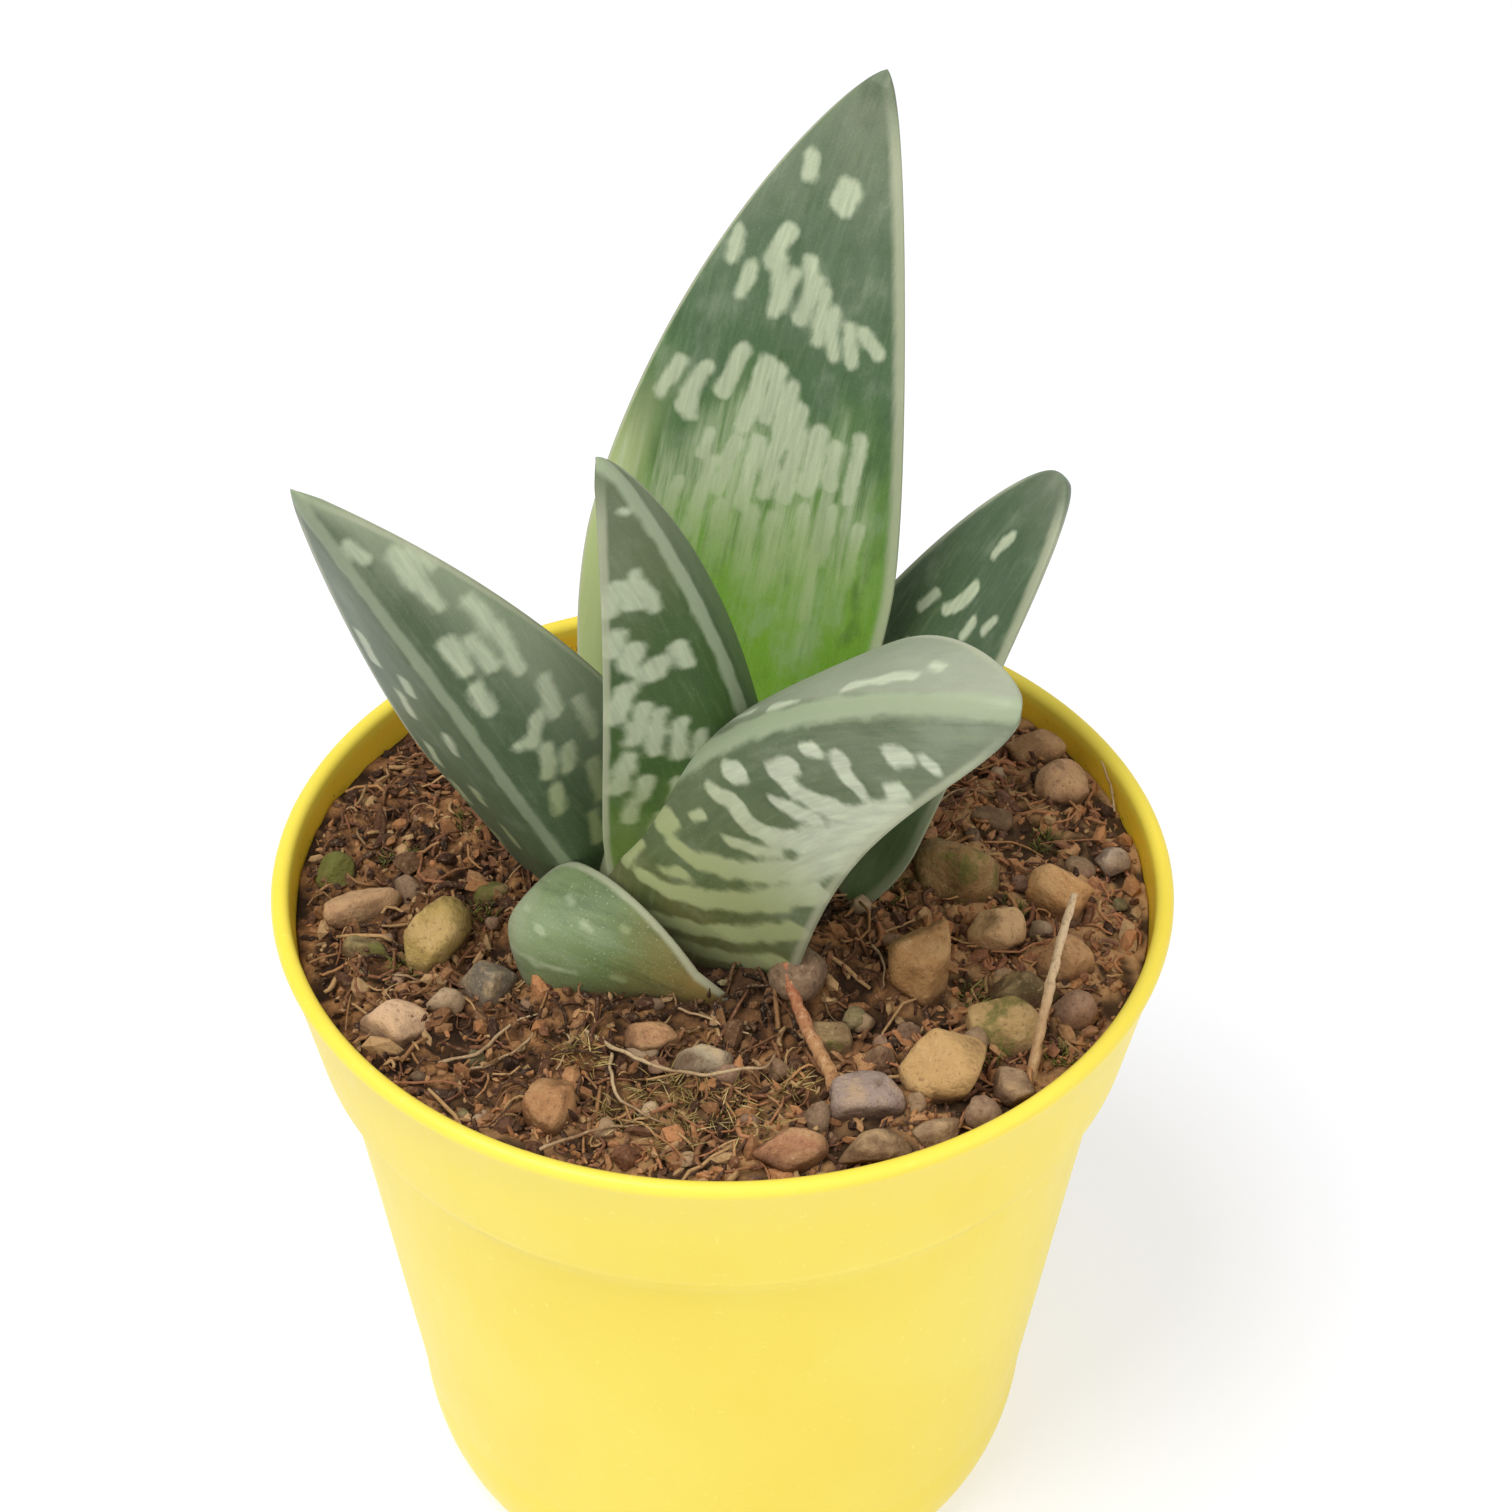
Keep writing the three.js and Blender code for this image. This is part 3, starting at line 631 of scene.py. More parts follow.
            (0.0, (104, 96, 42)), (0.16, (98, 100, 50)), (0.32, (88, 102, 62)), (0.6, (88, 102, 70)),
            (0.85, (106, 116, 88)), (1.0, (126, 132, 108)),
        ],
    },
    "stub_leaf": {
        "root": (-3.5, -16, 1.8), "heading": 167, "sweep": -20, "lean": 59.5, "curl": 50,
        "turn": -85, "twist": -54, "length": 17.7, "width": 13.9, "footWidth": 0.4,
        "widest": 0.67, "shoulder": 1.94, "point": 0.76, "fold": (0.3, 0.66), "keelSoft": 1.4,
        "thickness": 6.2,
        "marked": "outer", "rim": (0.2, 0.5), "keel": 0, "speckle": 0.45, "paleness": 0.4,
        "wash": {"across": (-0.15, -0.95), "along": (1.3, 0.2), "share": 0.55, "tone": (122, 104, 56)},
        "marks": [
            (0.35, (0.88, -0.46), (0.72, -0.36), (0.52, -0.24)), (0.5, (0.7, 0.1), (0.72, 0.12)),
            (0.4, (0.5, 0.4), (0.53, 0.42)), (0.4, (0.62, 0.6), (0.64, 0.62)),
            (0.4, (0.36, 0.66), (0.38, 0.66)), (0.4, (0.8, 0.3), (0.82, 0.32)),
            (0.4, (0.3, -0.1), (0.34, -0.1)),
        ],
        "tones": [
            (0.0, (128, 106, 54)), (0.22, (112, 108, 58)), (0.42, (100, 118, 70)),
            (0.75, (122, 138, 96)), (1.0, (160, 168, 134)),
        ],
    },
}


def blend(a, b, share):
    # The value a share of the way from a to b.
    return a + (b - a) * share


def vee(across, soft):
    # A V over -1 to 1, 1 at the middle and 0 at the ends, its point rounded by soft.
    return (np.hypot(1, soft) - np.hypot(across, soft)) / (np.hypot(1, soft) - soft)


def leafAxis(leaf, s):
    # Directions along, to the side of and out from the axis at each share s of its length.
    swell = np.sin(np.pi * s)
    lean = np.radians(leaf["lean"] + leaf["curl"] * s + leaf["bow"] * swell)
    heading = np.radians(leaf["heading"] + leaf["sweep"] * s + leaf["sway"] * swell)
    turn = np.radians(leaf["turn"] + leaf["twist"] * s)[:, None]
    along = np.stack([np.sin(lean) * np.cos(heading), np.sin(lean) * np.sin(heading), np.cos(lean)], -1)
    under = np.stack([np.cos(lean) * np.cos(heading), np.cos(lean) * np.sin(heading), -np.sin(lean)], -1)
    level = np.stack([-np.sin(heading), np.cos(heading), 0 * heading], -1)
    side = level * np.cos(turn) + under * np.sin(turn)
    return along, side, under * np.cos(turn) - level * np.sin(turn)


def leafStations(leaf, look=leafLook):
    # The axis's points, directions, half widths, keel depths and flesh at each station.
    s = 1 - (1 - np.linspace(0, 1, look["stations"])) ** look["tipCrowding"]
    along, side, out = leafAxis(leaf, s)
    step = leafAxis(leaf, (s[1:] + s[:-1]) / 2)[0] * np.diff(s)[:, None] * leaf["length"]
    root = np.array([leaf["root"][0], leaf["root"][1], soilLevel + leaf["root"][2]])
    axis = root + np.vstack([np.zeros(3), np.cumsum(step, axis=0)])
    rise = np.sin(np.pi / 2 * np.clip(s / leaf["widest"], 0, 1))
    past = np.clip((s - leaf["widest"]) / (1 - leaf["widest"]), 0, 1)
    fall = (1 - past ** leaf["shoulder"]) ** leaf["point"] * (1 - leaf["taper"] * past)
    half = leaf["width"] / 2 * blend(leaf["footWidth"], 1, rise) * fall
    fold = blend(leaf["fold"][0], leaf["fold"][1], s) + leaf["foldBulge"] * np.sin(np.pi * s)
    flesh = leaf["thickness"] * np.minimum(1, 1.6 * half / (leaf["width"] / 2)) * (1 - look["thinning"] * s)
    return s, axis, along, side, out, half, half * fold, flesh


def markDistance(leaf, sideways, lengthways, half, s):
    # Distance in millimetres from each point to the marks' edge, below 0 inside. Marks that
    # nearly touch run together, as the least distance is a soft one.
    nearest = np.zeros(sideways.shape)
    for width, *path in leaf["marks"]:
        path = np.array(path)
        y = path[:, 0] * leaf["length"]
        x = path[:, 1] * np.interp(path[:, 0], s, half)
        for x0, y0, x1, y1 in zip(x[:-1], y[:-1], x[1:], y[1:]):
            run, climb = x1 - x0, y1 - y0
            share = (sideways - x0) * run + (lengthways - y0) * climb
            share = np.clip(share / max(run * run + climb * climb, 1e-6), 0, 1)
            away = np.hypot(sideways - x0 - share * run, lengthways - y0 - share * climb)
            outside = np.minimum(away - width * leaf["swell"] / 2, 6)
            nearest = nearest + np.exp(-outside / leafLook["melt"])
    return -leafLook["melt"] * np.log(nearest + 1e-9)


def makeLeaf(name, leaf, seed, look=leafLook):
    # A section of two soft V faces carried along the axis, closed by a rounded tip and a foot.
    s, axis, along, side, out, half, keel, flesh = leafStations(leaf)
    share = np.linspace(-1, 1, look["around"] // 2 + 1)
    spread = np.clip(0.5 * share + 0.5 * np.sin(np.pi / 2 * share), -1, 1)
    across = np.concatenate([spread[:0:-1], spread[:-1]])[None, :]
    face = np.concatenate([-np.ones(len(share) - 1), np.ones(len(share) - 1)])[None, :]
    edge = look["margin"] * np.sqrt(np.clip(1 - across ** 6, 0, 1)) * np.clip(half / 1.4, 0.2, 1)[:, None]
    soft = leaf["keelSoft"]
    outer = keel[:, None] * vee(across, soft)
    inner = np.maximum(keel - flesh, 0)[:, None] * vee(across, 2 * soft)
    deep = np.where(face > 0, outer + edge, inner - edge)
    # Faint furrows along the blade and a slow unevenness, as living tissue has.
    sideways, lengthways = across * half[:, None], s[:, None] * leaf["length"] + 0 * across
    uneven = softNoise(np.stack([sideways * 1.6, lengthways * 0.12, face + 0 * sideways], -1), 1.6, seed)
    slow = softNoise(np.stack([sideways, lengthways * 0.5, face * 3 + 0 * sideways], -1), 5.5, seed + 9)
    calm = np.clip(half[:, None] / 3, 0, 1) * (1 - across ** 8)
    deep = deep + face * calm * (look["furrows"] * uneven + look["unevenness"] * slow)
    grid = axis[:, None] + side[:, None] * sideways[..., None] + out[:, None] * deep[..., None]
    last = grid[0] * 0.75 + 0.25 * grid[0].mean(0) - along[0] * look["footLength"]
    grid = np.concatenate([last[None], grid])
    rows, columns = grid.shape[:2]
    tip = grid[-1].mean(0)
    # The foot's end is a strip between the two faces, so that a folded section stays closed.
    near = np.arange(columns // 2)
    mirror = (columns - near) % columns
    strip = np.stack([near, mirror, (columns - near - 1) % columns, near + 1], -1)
    points = np.vstack([grid.reshape(-1, 3), [tip]])
    ring = (rows - 1) * columns + np.arange(columns)
    quads = np.vstack([tubeQuads(rows, columns), strip[1:-1]])
    ends = np.array([[near[0], (columns - 1) % columns, 1],
                     [near[-1], (columns - near[-1]) % columns, near[-1] + 1]])
    piece = fillMesh(name + "_blade", points, quads, np.vstack([fan(ring, rows * columns), ends]))

    marks = markDistance(leaf, sideways, lengthways, half, s)
    if leaf["marked"] == "inner":
        marks = np.where(face > 0, markDistance(leaf, -sideways, lengthways + 2, half, s), marks)
    away = half[:, None] * (1 - np.abs(across))
    band = np.where(across < 0, leaf["rim"][0], leaf["rim"][1])
    keelBand = max(leaf["keel"], 0.01) / 2
    middle = np.where(face > 0, np.abs(sideways) / keelBand, 50)

    # A pale wash over part of the blade: the leaf's own colour, and painted light on the front right leaf.
    wash = 0.0
    if "wash" in leaf:
        tint = leaf["wash"]
        wash = tint["share"] * smoothStep(*tint["across"], across) * smoothStep(*tint["along"], s)[:, None]

    def store(values):
        values = values + 0 * sideways
        values = np.concatenate([values[:1], values])
        return np.append(values.ravel(), values[-1].mean())

    keepValues(piece, mark=store(marks), rim=store(away / band), keel=store(middle),
               along=store(s[:, None]), wash=store(wash),
               blade=np.stack([store(sideways), store(lengthways), store(face * 5)], -1))
    return finishPiece(piece, leafMaterial(name, leaf), [name])


def leafMaterial(name, leaf):
    n = Nodes(name + "_skin", Specular_IOR_Level=0.3, Subsurface_Weight=0.12, Subsurface_Scale=0.002,
              Subsurface_Radius=(0.6, 1.0, 0.35), Sheen_Weight=0.05, Sheen_Roughness=0.6, Coat_Weight=0.05,
              Coat_Roughness=0.4)
    blade = n.vector("blade")
    along, mark = n.number("along"), n.number("mark")
    slow = n.noise(n.stretch(blade, (1, 0.4, 1)), 0.17, 3.0)
    fine = n.noise(n.stretch(blade, (1, 0.09, 1)), 2.2, 4.0, 0.6)
    speckle = n.noise(blade, 5.0, 2.0, 0.6)
    shift = n.roughened(along, slow, 0.3)
    tone = n.ramp(shift, [(at, colour(*rgb)) for at, rgb in leaf["tones"]])
    # Grey bloom in slow patches, and darker sap-green between them.
    bloom = n.noise(n.stretch(blade, (1, 0.5, 1)), 0.32, 4.0, 0.6)
    tone = n.tint(tone, bloom, 0.5, 0.72, leaf["bloom"], (150, 160, 136))
    tone = n.tint(tone, bloom, 0.5, 0.28, 0.45, (48, 76, 34))
    tone = n.tint(tone, fine, 0.5, 0.78, 0.2, (140, 160, 112))
    tone = n.tint(tone, fine, 0.5, 0.25, 0.22, (44, 66, 34))
    tone = n.tint(tone, speckle, 0.6, 0.72, leaf["speckle"], (184, 192, 164))
    # Pale marks with soft, uneven edges, streaked within.
    ragged = n.noise(n.stretch(blade, (1, 0.6, 1)), 0.75, 3.0, 0.5)
    edge = n.roughened(mark, ragged, 1.1)
    blur = leaf["blur"]
    pale = n.rise(edge, blur, -blur)
    pale = n.maths("MULTIPLY", pale, n.rise(along, *leaf["fade"]))
    if "haze" in leaf:  # dense fine streaks where the lowest marks run together
        start, full, fade, end = leaf["haze"]
        streak = n.rise(n.noise(n.stretch(blade, (1, 0.05, 1)), 0.9, 4.0, 0.65), 0.36, 0.62)
        field = n.maths("MULTIPLY", n.rise(shift, start, full), n.rise(shift, end, fade))
        field = n.maths("MULTIPLY", n.maths("MULTIPLY", streak, field), n.rise(n.number("rim"), 1.5, 4.0))
        pale = n.maths("MAXIMUM", pale, n.maths("MULTIPLY", field, 0.72))
    palest = leaf["palest"]
    paleTone = n.mix(n.rise(fine, 0.25, 0.75), colour(*(0.88 * part for part in palest)), colour(*palest))
    paleTone = n.mix(n.rise(along, 0.55, 0.3), paleTone, colour(*leaf["paleBase"]))
    # The pale wash: the leaf's own colour, and painted light on the front right leaf.
    if "wash" in leaf:
        tone = n.mix(n.number("wash"), tone, colour(*leaf["wash"]["tone"]))
    tone = n.mix(n.maths("MULTIPLY", pale, leaf["paleness"]), tone, paleTone)
    keelEdge = n.roughened(n.number("keel"), ragged, 1.0)
    keelBand = n.maths("MULTIPLY", n.rise(keelEdge, 1.35, 0.6), n.rise(along, 0.02, 0.25))
    tone = n.mix(n.maths("MULTIPLY", keelBand, leaf["keelShare"]), tone, colour(160, 172, 140))
    rimEdge = n.roughened(n.number("rim"), fine, 0.7)
    rimBand = n.maths("MULTIPLY", n.rise(rimEdge, 1.3, 0.5), n.rise(along, 1.0, 0.9))
    tone = n.mix(n.maths("MULTIPLY", rimBand, 0.7), tone, colour(172, 174, 146))
    n.into("Base Color", tone)
    n.roughness(speckle, 0.4, 0.58)
    grain = n.bump(n.noise(blade, 3.5, 3.0, 0.6), 0.00006, 0.6)
    n.into("Normal", n.bump(fine, 0.00008, 0.5, grain))
    return n.material


for number, (name, leaf) in enumerate(leaves.items()):
    makeLeaf(name, {**usualLeaf, **leaf}, 40 + 7 * number)
print("leaves made")


# at is the plan place, size the three diameters, proud the height above the soil.
pebbleRows = [
    ((22, -0.2), (8, 7.6, 7.6), 6.2, 20, (132, 102, 64), 0.5),
    ((17.6, -13.6), (5.8, 7, 8.2), 6.6, 10, (150, 112, 70), 0.05),
    ((25, -8.8), (4.9, 4.8, 6), 4.6, 40, (182, 146, 106), 0),
    ((31.4, -2.4), (6, 5.8, 6.4), 4.4, 0, (176, 132, 86), 0),
    ((37, 3), (3.2, 3, 2.6), 1.8, 15, (164, 146, 130), 0),
    ((31.2, -12), (4.4, 5.2, 6), 4.2, 70, (160, 120, 82), 0),
    ((27.4, -15.4), (6.6, 4.4, 5), 3.4, 12, (84, 70, 44), 0.35),
    ((25.2, -20.6), (6.8, 5, 5.2), 3.6, -12, (156, 128, 84), 0.5),
    ((19.4, -26.6), (7, 7, 7.2), 5.2, -30, (168, 134, 88), 0.05),
    ((12.4, -29), (6.6, 4.4, 4.2), 2.8, 8, (136, 118, 110), 0),
    ((14, -23.6), (3.2, 2.8, 2.6), 1.8, 50, (150, 122, 94), 0.1),
    ((25.4, -27.6), (4.2, 3.2, 3), 2, -35, (132, 108, 84), 0.1),
    ((5.8, -35.2), (6.6, 4, 3.8), 2.6, 8, (146, 102, 74), 0),
    ((13, -34.9), (6.2, 3.2, 3), 2.2, 14, (150, 124, 92), 0.1),
    ((18.6, -32.8), (4.4, 2.6, 2.4), 1.6, 25, (158, 132, 102), 0.15),
    ((11.5, -11.4), (6.4, 3.2, 3), 1.8, -8, (144, 108, 82), 0),
    ((9.4, -21.4), (3.8, 4.2, 3.8), 2, 30, (124, 104, 72), 0.3),
    ((30.6, 19), (6, 4.4, 4.4), 3.4, -20, (146, 110, 76), 0),
    ((33.2, 13.6), (5.8, 5, 4.8), 3.4, 50, (170, 132, 98), 0),
    ((-33.6, -3.9), (7.4, 3.2, 3.4), 2.6, 24, (158, 124, 92), 0),
    ((-26.2, -9.2), (5, 8.6, 7.4), 5.6, -24, (150, 126, 72), 0.3),
    ((-36.6, 1.2), (3.6, 3.4, 3.2), 2.2, 0, (96, 102, 52), 0.9),
    ((-20.8, -15.2), (5, 4.8, 5.6), 4, 30, (98, 90, 78), 0.1),
    ((-29, -19.6), (6.4, 4.4, 4), 2.6, -18, (184, 152, 122), 0),
    ((-21.6, -1.6), (3.4, 2.8, 2.6), 1.7, 12, (112, 102, 62), 0.6),
    ((-32.6, -9.8), (4.4, 2.8, 2.8), 1.8, -30, (120, 108, 72), 0.4),
    ((-15, -30.2), (4.8, 5.4, 5.2), 3.2, 15, (148, 106, 70), 0),
    ((-6.4, -21.4), (5, 3.4, 3.4), 2.4, -10, (158, 118, 84), 0),
    ((-1.6, -24.4), (5.2, 4.2, 3.6), 2.2, 20, (150, 136, 114), 0.1),
    ((-13, 33), (6.2, 4.6, 4.2), 2.4, 30, (150, 122, 94), 0),
    ((3, 36), (4.2, 3.6, 3.4), 2, 0, (132, 108, 84), 0.2),
    ((21, 29), (5.6, 4.4, 4.2), 2.6, -40, (158, 130, 100), 0),
    ((26, 9), (4.2, 3.8, 3.6), 2, 25, (126, 104, 78), 0.2),
    ((-20, 22), (4, 3.2, 3), 1.8, 60, (144, 118, 92), 0.1),
]
pebbles = [dict(zip(("at", "size", "proud", "turn", "tone", "moss"), row)) for row in pebbleRows]
pebbleLook = {"planRadius": 40, "facets": 13, "hardness": 20, "segments": (60, 38)}


def stoneShape(size, seed, look=pebbleLook, segments=None):
    # A soft-edged block: from the middle, a point lies where the sharp sum of its facets' reaches is one.
    rng = np.random.default_rng(seed)
    around, rows = segments or look["segments"]
    tilt = np.linspace(0, np.pi, rows + 2)[1:-1]
    turn = np.linspace(0, 2 * np.pi, around, endpoint=False)
    way = np.stack([np.sin(tilt)[:, None] * np.cos(turn), np.sin(tilt)[:, None] * np.sin(turn),
                    -np.cos(tilt)[:, None] + 0 * turn], -1)
    way = np.vstack([way.reshape(-1, 3), [[0, 0, -1]], [[0, 0, 1]]])
    facing = rng.normal(size=(look["facets"], 3))
    facing /= np.linalg.norm(facing, axis=1)[:, None]
    reach = rng.uniform(0.62, 0.95, look["facets"])
    sharp = look["hardness"]
    near = (np.maximum(way @ facing.T / reach, 0) ** sharp).sum(1) + 0.3
    radius = near ** (-1 / sharp)
    radius *= 1 + 0.04 * layeredNoise(way + seed, 0.5, seed, 5)
    points = way * radius[:, None]
    middle, reachNow = (points.max(0) + points.min(0)) / 2, (points.max(0) - points.min(0)) / 2
    points = (points - middle) / reachNow
    pitted = layeredNoise(points * 3 + seed, 0.5, seed + 3, 3)
    points = points * (1 - 0.03 * np.maximum(pitted, 0))[:, None] * np.array(size) * 1.06 / 2
    return points, tubeQuads(rows, around), poleCaps(rows, around)


def keepInside(points, reach):
    # Points beyond a reach from the pot's axis are drawn in to it, each at its own level.
    away = np.hypot(points[..., 0], points[..., 1])
    points[..., :2] *= np.minimum(1, reach / away)[..., None]


def joined(parts):
    # Points, quads and triangles of many small meshes as one.
    starts = np.cumsum([0] + [len(part[0]) for part in parts])
    return (np.vstack([part[0] for part in parts]),
            np.vstack([part[1] + start for part, start in zip(parts, starts)]),
            np.vstack([part[2] + start for part, start in zip(parts, starts)]))


def turned(points, angle):
    # Points turned about the upright axis, by an angle in degrees.
    c, s = math.cos(math.radians(angle)), math.sin(math.radians(angle))
    return points @ np.array([[c, s, 0], [-s, c, 0], [0, 0, 1]])


def linearTone(rgb):
    # A screen colour's three linear parts, for keeping on points.
    return np.array(colour(*rgb)[:3])


def makePebbles():
    # Each stone is shaped, turned, set into the soil and drawn in clear of the pot's wall.
    material = stoneMaterial()
    spread = soilRadius / pebbleLook["planRadius"]
    for number, pebble in enumerate(pebbles):
        node = f"pebble_{number + 1:02d}"
        points, quads, caps = stoneShape(pebble["size"], 300 + 3 * number)
        points = turned(points, pebble["turn"])
        x, y = pebble["at"][0] * spread, pebble["at"][1] * spread
        points = points + np.array([x, y, soilLevel + pebble["proud"] - pebble["size"][2] / 2])
        keepInside(points, innerWall(np.minimum(points[:, 2], 72)) - 0.15)
        piece = fillMesh(f"stone_{number + 1:02d}", points, quads, caps)
        keepValues(piece, tone=np.tile(linearTone(pebble["tone"]), (len(points), 1)),
                   moss=np.full(len(points), float(pebble["moss"])))
        finishPiece(piece, material, [node])


def stoneMaterial():
    n = Nodes("river_stone", Specular_IOR_Level=0.3)
    place = n.place()
    tone = n.mix(1.0, n.vector("tone"), (1.28, 1.26, 1.2, 1), "MULTIPLY")
    patches = n.noise(place, 300, 4.0, 0.6)
    tone = n.tint(tone, patches, 0.45, 0.7, 0.45, (202, 166, 116))
    tone = n.tint(tone, patches, 0.48, 0.3, 0.55, (92, 62, 34))
    fine = n.noise(place, 1900, 4.0, 0.7)
    tone = n.tint(tone, fine, 0.55, 0.72, 0.4, (218, 190, 146))
    tone = n.tint(tone, fine, 0.45, 0.3, 0.5, (74, 48, 26))
    # Each stone is darker brown low down, near the soil, and green films grow on the damp ones.
    level = n.add("SeparateXYZ", {0: place}).outputs[2]
    height = n.roughened(level, patches, 0.003)
    tone = n.tint(tone, height, (soilLevel + 2.4) * mm, (soilLevel + 0.7) * mm, 0.7, (84, 54, 33))
    growth = n.maths("ADD", n.noise(place, 360, 4.0, 0.65), n.maths("MULTIPLY", n.number("moss"), 0.5))
    tone = n.tint(tone, growth, 0.72, 0.86, 0.75, (98, 98, 40))
    n.into("Base Color", tone)
    n.roughness(fine, 0.62, 0.95)
    broken = n.cells(n.stretch(place, (1, 1, 0.7)), 420, "SMOOTH_F1")
    n.into("Normal", n.bump(fine, 0.0003, 0.9, n.bump(patches, 0.0006, 0.7, n.bump(broken, 0.0006, 0.5))))
    return n.material


makePebbles()
print("pebbles made")


# A size is its usual value, then how widely it varies. Placed gravel is (x, y, diameter).
groundLook = {
    "crumbs": 7600,
    "crumbSize": (0.36, 0.48),
    "largestCrumb": 1.5,
    "gravel": 130,
    "gravelSize": (0.85, 0.32),
    "placedGravel": [(22.8, -31, 3.4), (8.2, -31.4, 2.8), (29.6, -6.3, 2.4), (-29.8, -1.4, 3),
                     (-25, -17.9, 3)],
    "fibres": 1500,
    "fibreLength": (2.6, 0.45),
    "fibreRadius": (0.16, 0.35),
    "hairs": 46,
    "hairRadius": 0.075,
}


def scatter(rng, count, inside=0.985, clearOfCrown=7.5):
    # Random plan places over the soil, outside the crown of the plant.
    turn = rng.uniform(0, 2 * np.pi, count)
    away = np.sqrt(rng.uniform((clearOfCrown / soilRadius) ** 2, inside ** 2, count)) * soilRadius
    return away * np.cos(turn), away * np.sin(turn)


def turns(rng, count):
    # Random rotations, from unit quaternions.
    q = rng.normal(size=(count, 4))
    w, x, y, z = (q / np.linalg.norm(q, axis=1)[:, None]).T
    return np.stack([
        np.stack([1 - 2 * (y * y + z * z), 2 * (x * y - z * w), 2 * (x * z + y * w)], -1),
        np.stack([2 * (x * y + z * w), 1 - 2 * (x * x + z * z), 2 * (y * z - x * w)], -1),
        np.stack([2 * (x * z - y * w), 2 * (y * z + x * w), 1 - 2 * (x * x + y * y)], -1)], -2)


def icosahedron():
    # Twelve points from three golden rectangles, at a distance of one from the middle.
    g = (1 + 5 ** 0.5) / 2
    points = np.array([(-1, g, 0), (1, g, 0), (-1, -g, 0), (1, -g, 0), (0, -1, g), (0, 1, g),
                       (0, -1, -g), (0, 1, -g), (g, 0, -1), (g, 0, 1), (-g, 0, -1), (-g, 0, 1)])
    faces = np.array([(0, 11, 5), (0, 5, 1), (0, 1, 7), (0, 7, 10), (0, 10, 11), (1, 5, 9), (5, 11, 4),
                      (11, 10, 2), (10, 7, 6), (7, 1, 8), (3, 9, 4), (3, 4, 2), (3, 2, 6), (3, 6, 8),
                      (3, 8, 9), (4, 9, 5), (2, 4, 11), (6, 2, 10), (8, 6, 7), (9, 8, 1)])
    return points / np.linalg.norm(points[0]), faces


def tonesFrom(rng, count, palette, spread=0.12):
    # One colour for each item: a random one of the palette, a little lighter or darker.
    chosen = np.array([linearTone(rgb) for rgb in palette])[rng.integers(0, len(palette), count)]
    return np.clip(chosen * np.exp(rng.normal(0, spread * 2, (count, 1))), 0, 1)


def shaded(tone, x, y, brightest=0.42):
    # Tones under the ground's painted light and painted shade, each dimmed whole where it would pass the
    # brightest.
    tone = tone * paintedGroundLight(x, y)[:, None] ** 1.5
    return tone * np.minimum(1, brightest / tone.max(axis=1))[:, None]


def spreadSizes(rng, size, count):
    # The usual size times the exponential of a normal random number.
    return size[0] * np.exp(rng.normal(0, size[1], count))


def makeCrumbs(look):
    # Thousands of small angular crumbs of peat and grit, each a knocked-about icosahedron.
    rng = np.random.default_rng(5)
    ball, faces = icosahedron()
    count = look["crumbs"]
    x, y = scatter(rng, count)
    size = np.minimum(spreadSizes(rng, look["crumbSize"], count), look["largestCrumb"])
    shape = ball[None] * rng.uniform(0.75, 1.25, (count, 12, 1))
    shape = shape * rng.uniform((0.3, 0.35, 0.7), (0.9, 1.1, 2.0), (count, 3))[:, None]
    shape = np.einsum("nij,nkj->nki", turns(rng, count), shape) * size[:, None, None]
    lift = soilHeight(x, y) + size * rng.uniform(-0.1, 0.45, count)
    points = shape + np.stack([x, y, lift], -1)[:, None]
    keepInside(points, soilRadius + 0.1)
    triangles = faces[None] + 12 * np.arange(count)[:, None, None]
    piece = fillMesh("soil_crumbs", points.reshape(-1, 3), None, triangles.reshape(-1, 3), smooth=False)
    palette = [(112, 76, 48), (140, 100, 66), (164, 122, 82), (76, 50, 34), (146, 100, 64), (190, 152, 106),
               (120, 86, 58), (94, 62, 42), (130, 90, 56), (50, 34, 25), (66, 44, 32)]
    # Painted light and painted shade of the ground, on each crumb.
    tone = shaded(tonesFrom(rng, count, palette, 0.16), x, y)
    keepValues(piece, tone=np.repeat(tone, 12, axis=0))
    return finishPiece(piece, looseMaterial("soil_crumb", 2600, 0.35))


def makeGravel(look):
    # Fine gravel between the pebbles: smaller stones of the same kind on a coarse grid.
    rng = np.random.default_rng(17)
    x, y = scatter(rng, look["gravel"], 0.95, 12)
    size = spreadSizes(rng, look["gravelSize"], len(x))
    # On the left and at the back, fewer than half of the grains are kept.
    keep = (x > 3) | (y < -20) | (rng.uniform(size=len(x)) < 0.45)
    placed = np.array(look["placedGravel"])
    x, y = np.append(x[keep], placed[:, 0]), np.append(y[keep], placed[:, 1])
    size = np.append(size[keep], placed[:, 2] / 2)
    palette = [(150, 122, 92), (134, 104, 78), (166, 140, 110), (120, 96, 74), (144, 112, 88),
               (110, 98, 66)]
    shades = tonesFrom(rng, len(x), palette)
    stones = []
    for k in range(len(x)):
        across = size[k] * 2 * rng.uniform(0.75, 1.2, 3)
        points, quads, caps = stoneShape(across, 900 + k, segments=(14, 8))
        points = turned(points, rng.uniform(0, 360))
        points = points + [x[k], y[k], float(soilHeight(x[k], y[k])) + size[k] * 0.35]
        keepInside(points, soilRadius + 0.1)
        stones.append((points, quads, caps))
    piece = fillMesh("fine_gravel", *joined(stones))
    keepValues(piece, tone=np.repeat(shades, len(stones[0][0]), axis=0))
    return finishPiece(piece, looseMaterial("gravel", 1700, 0.8))


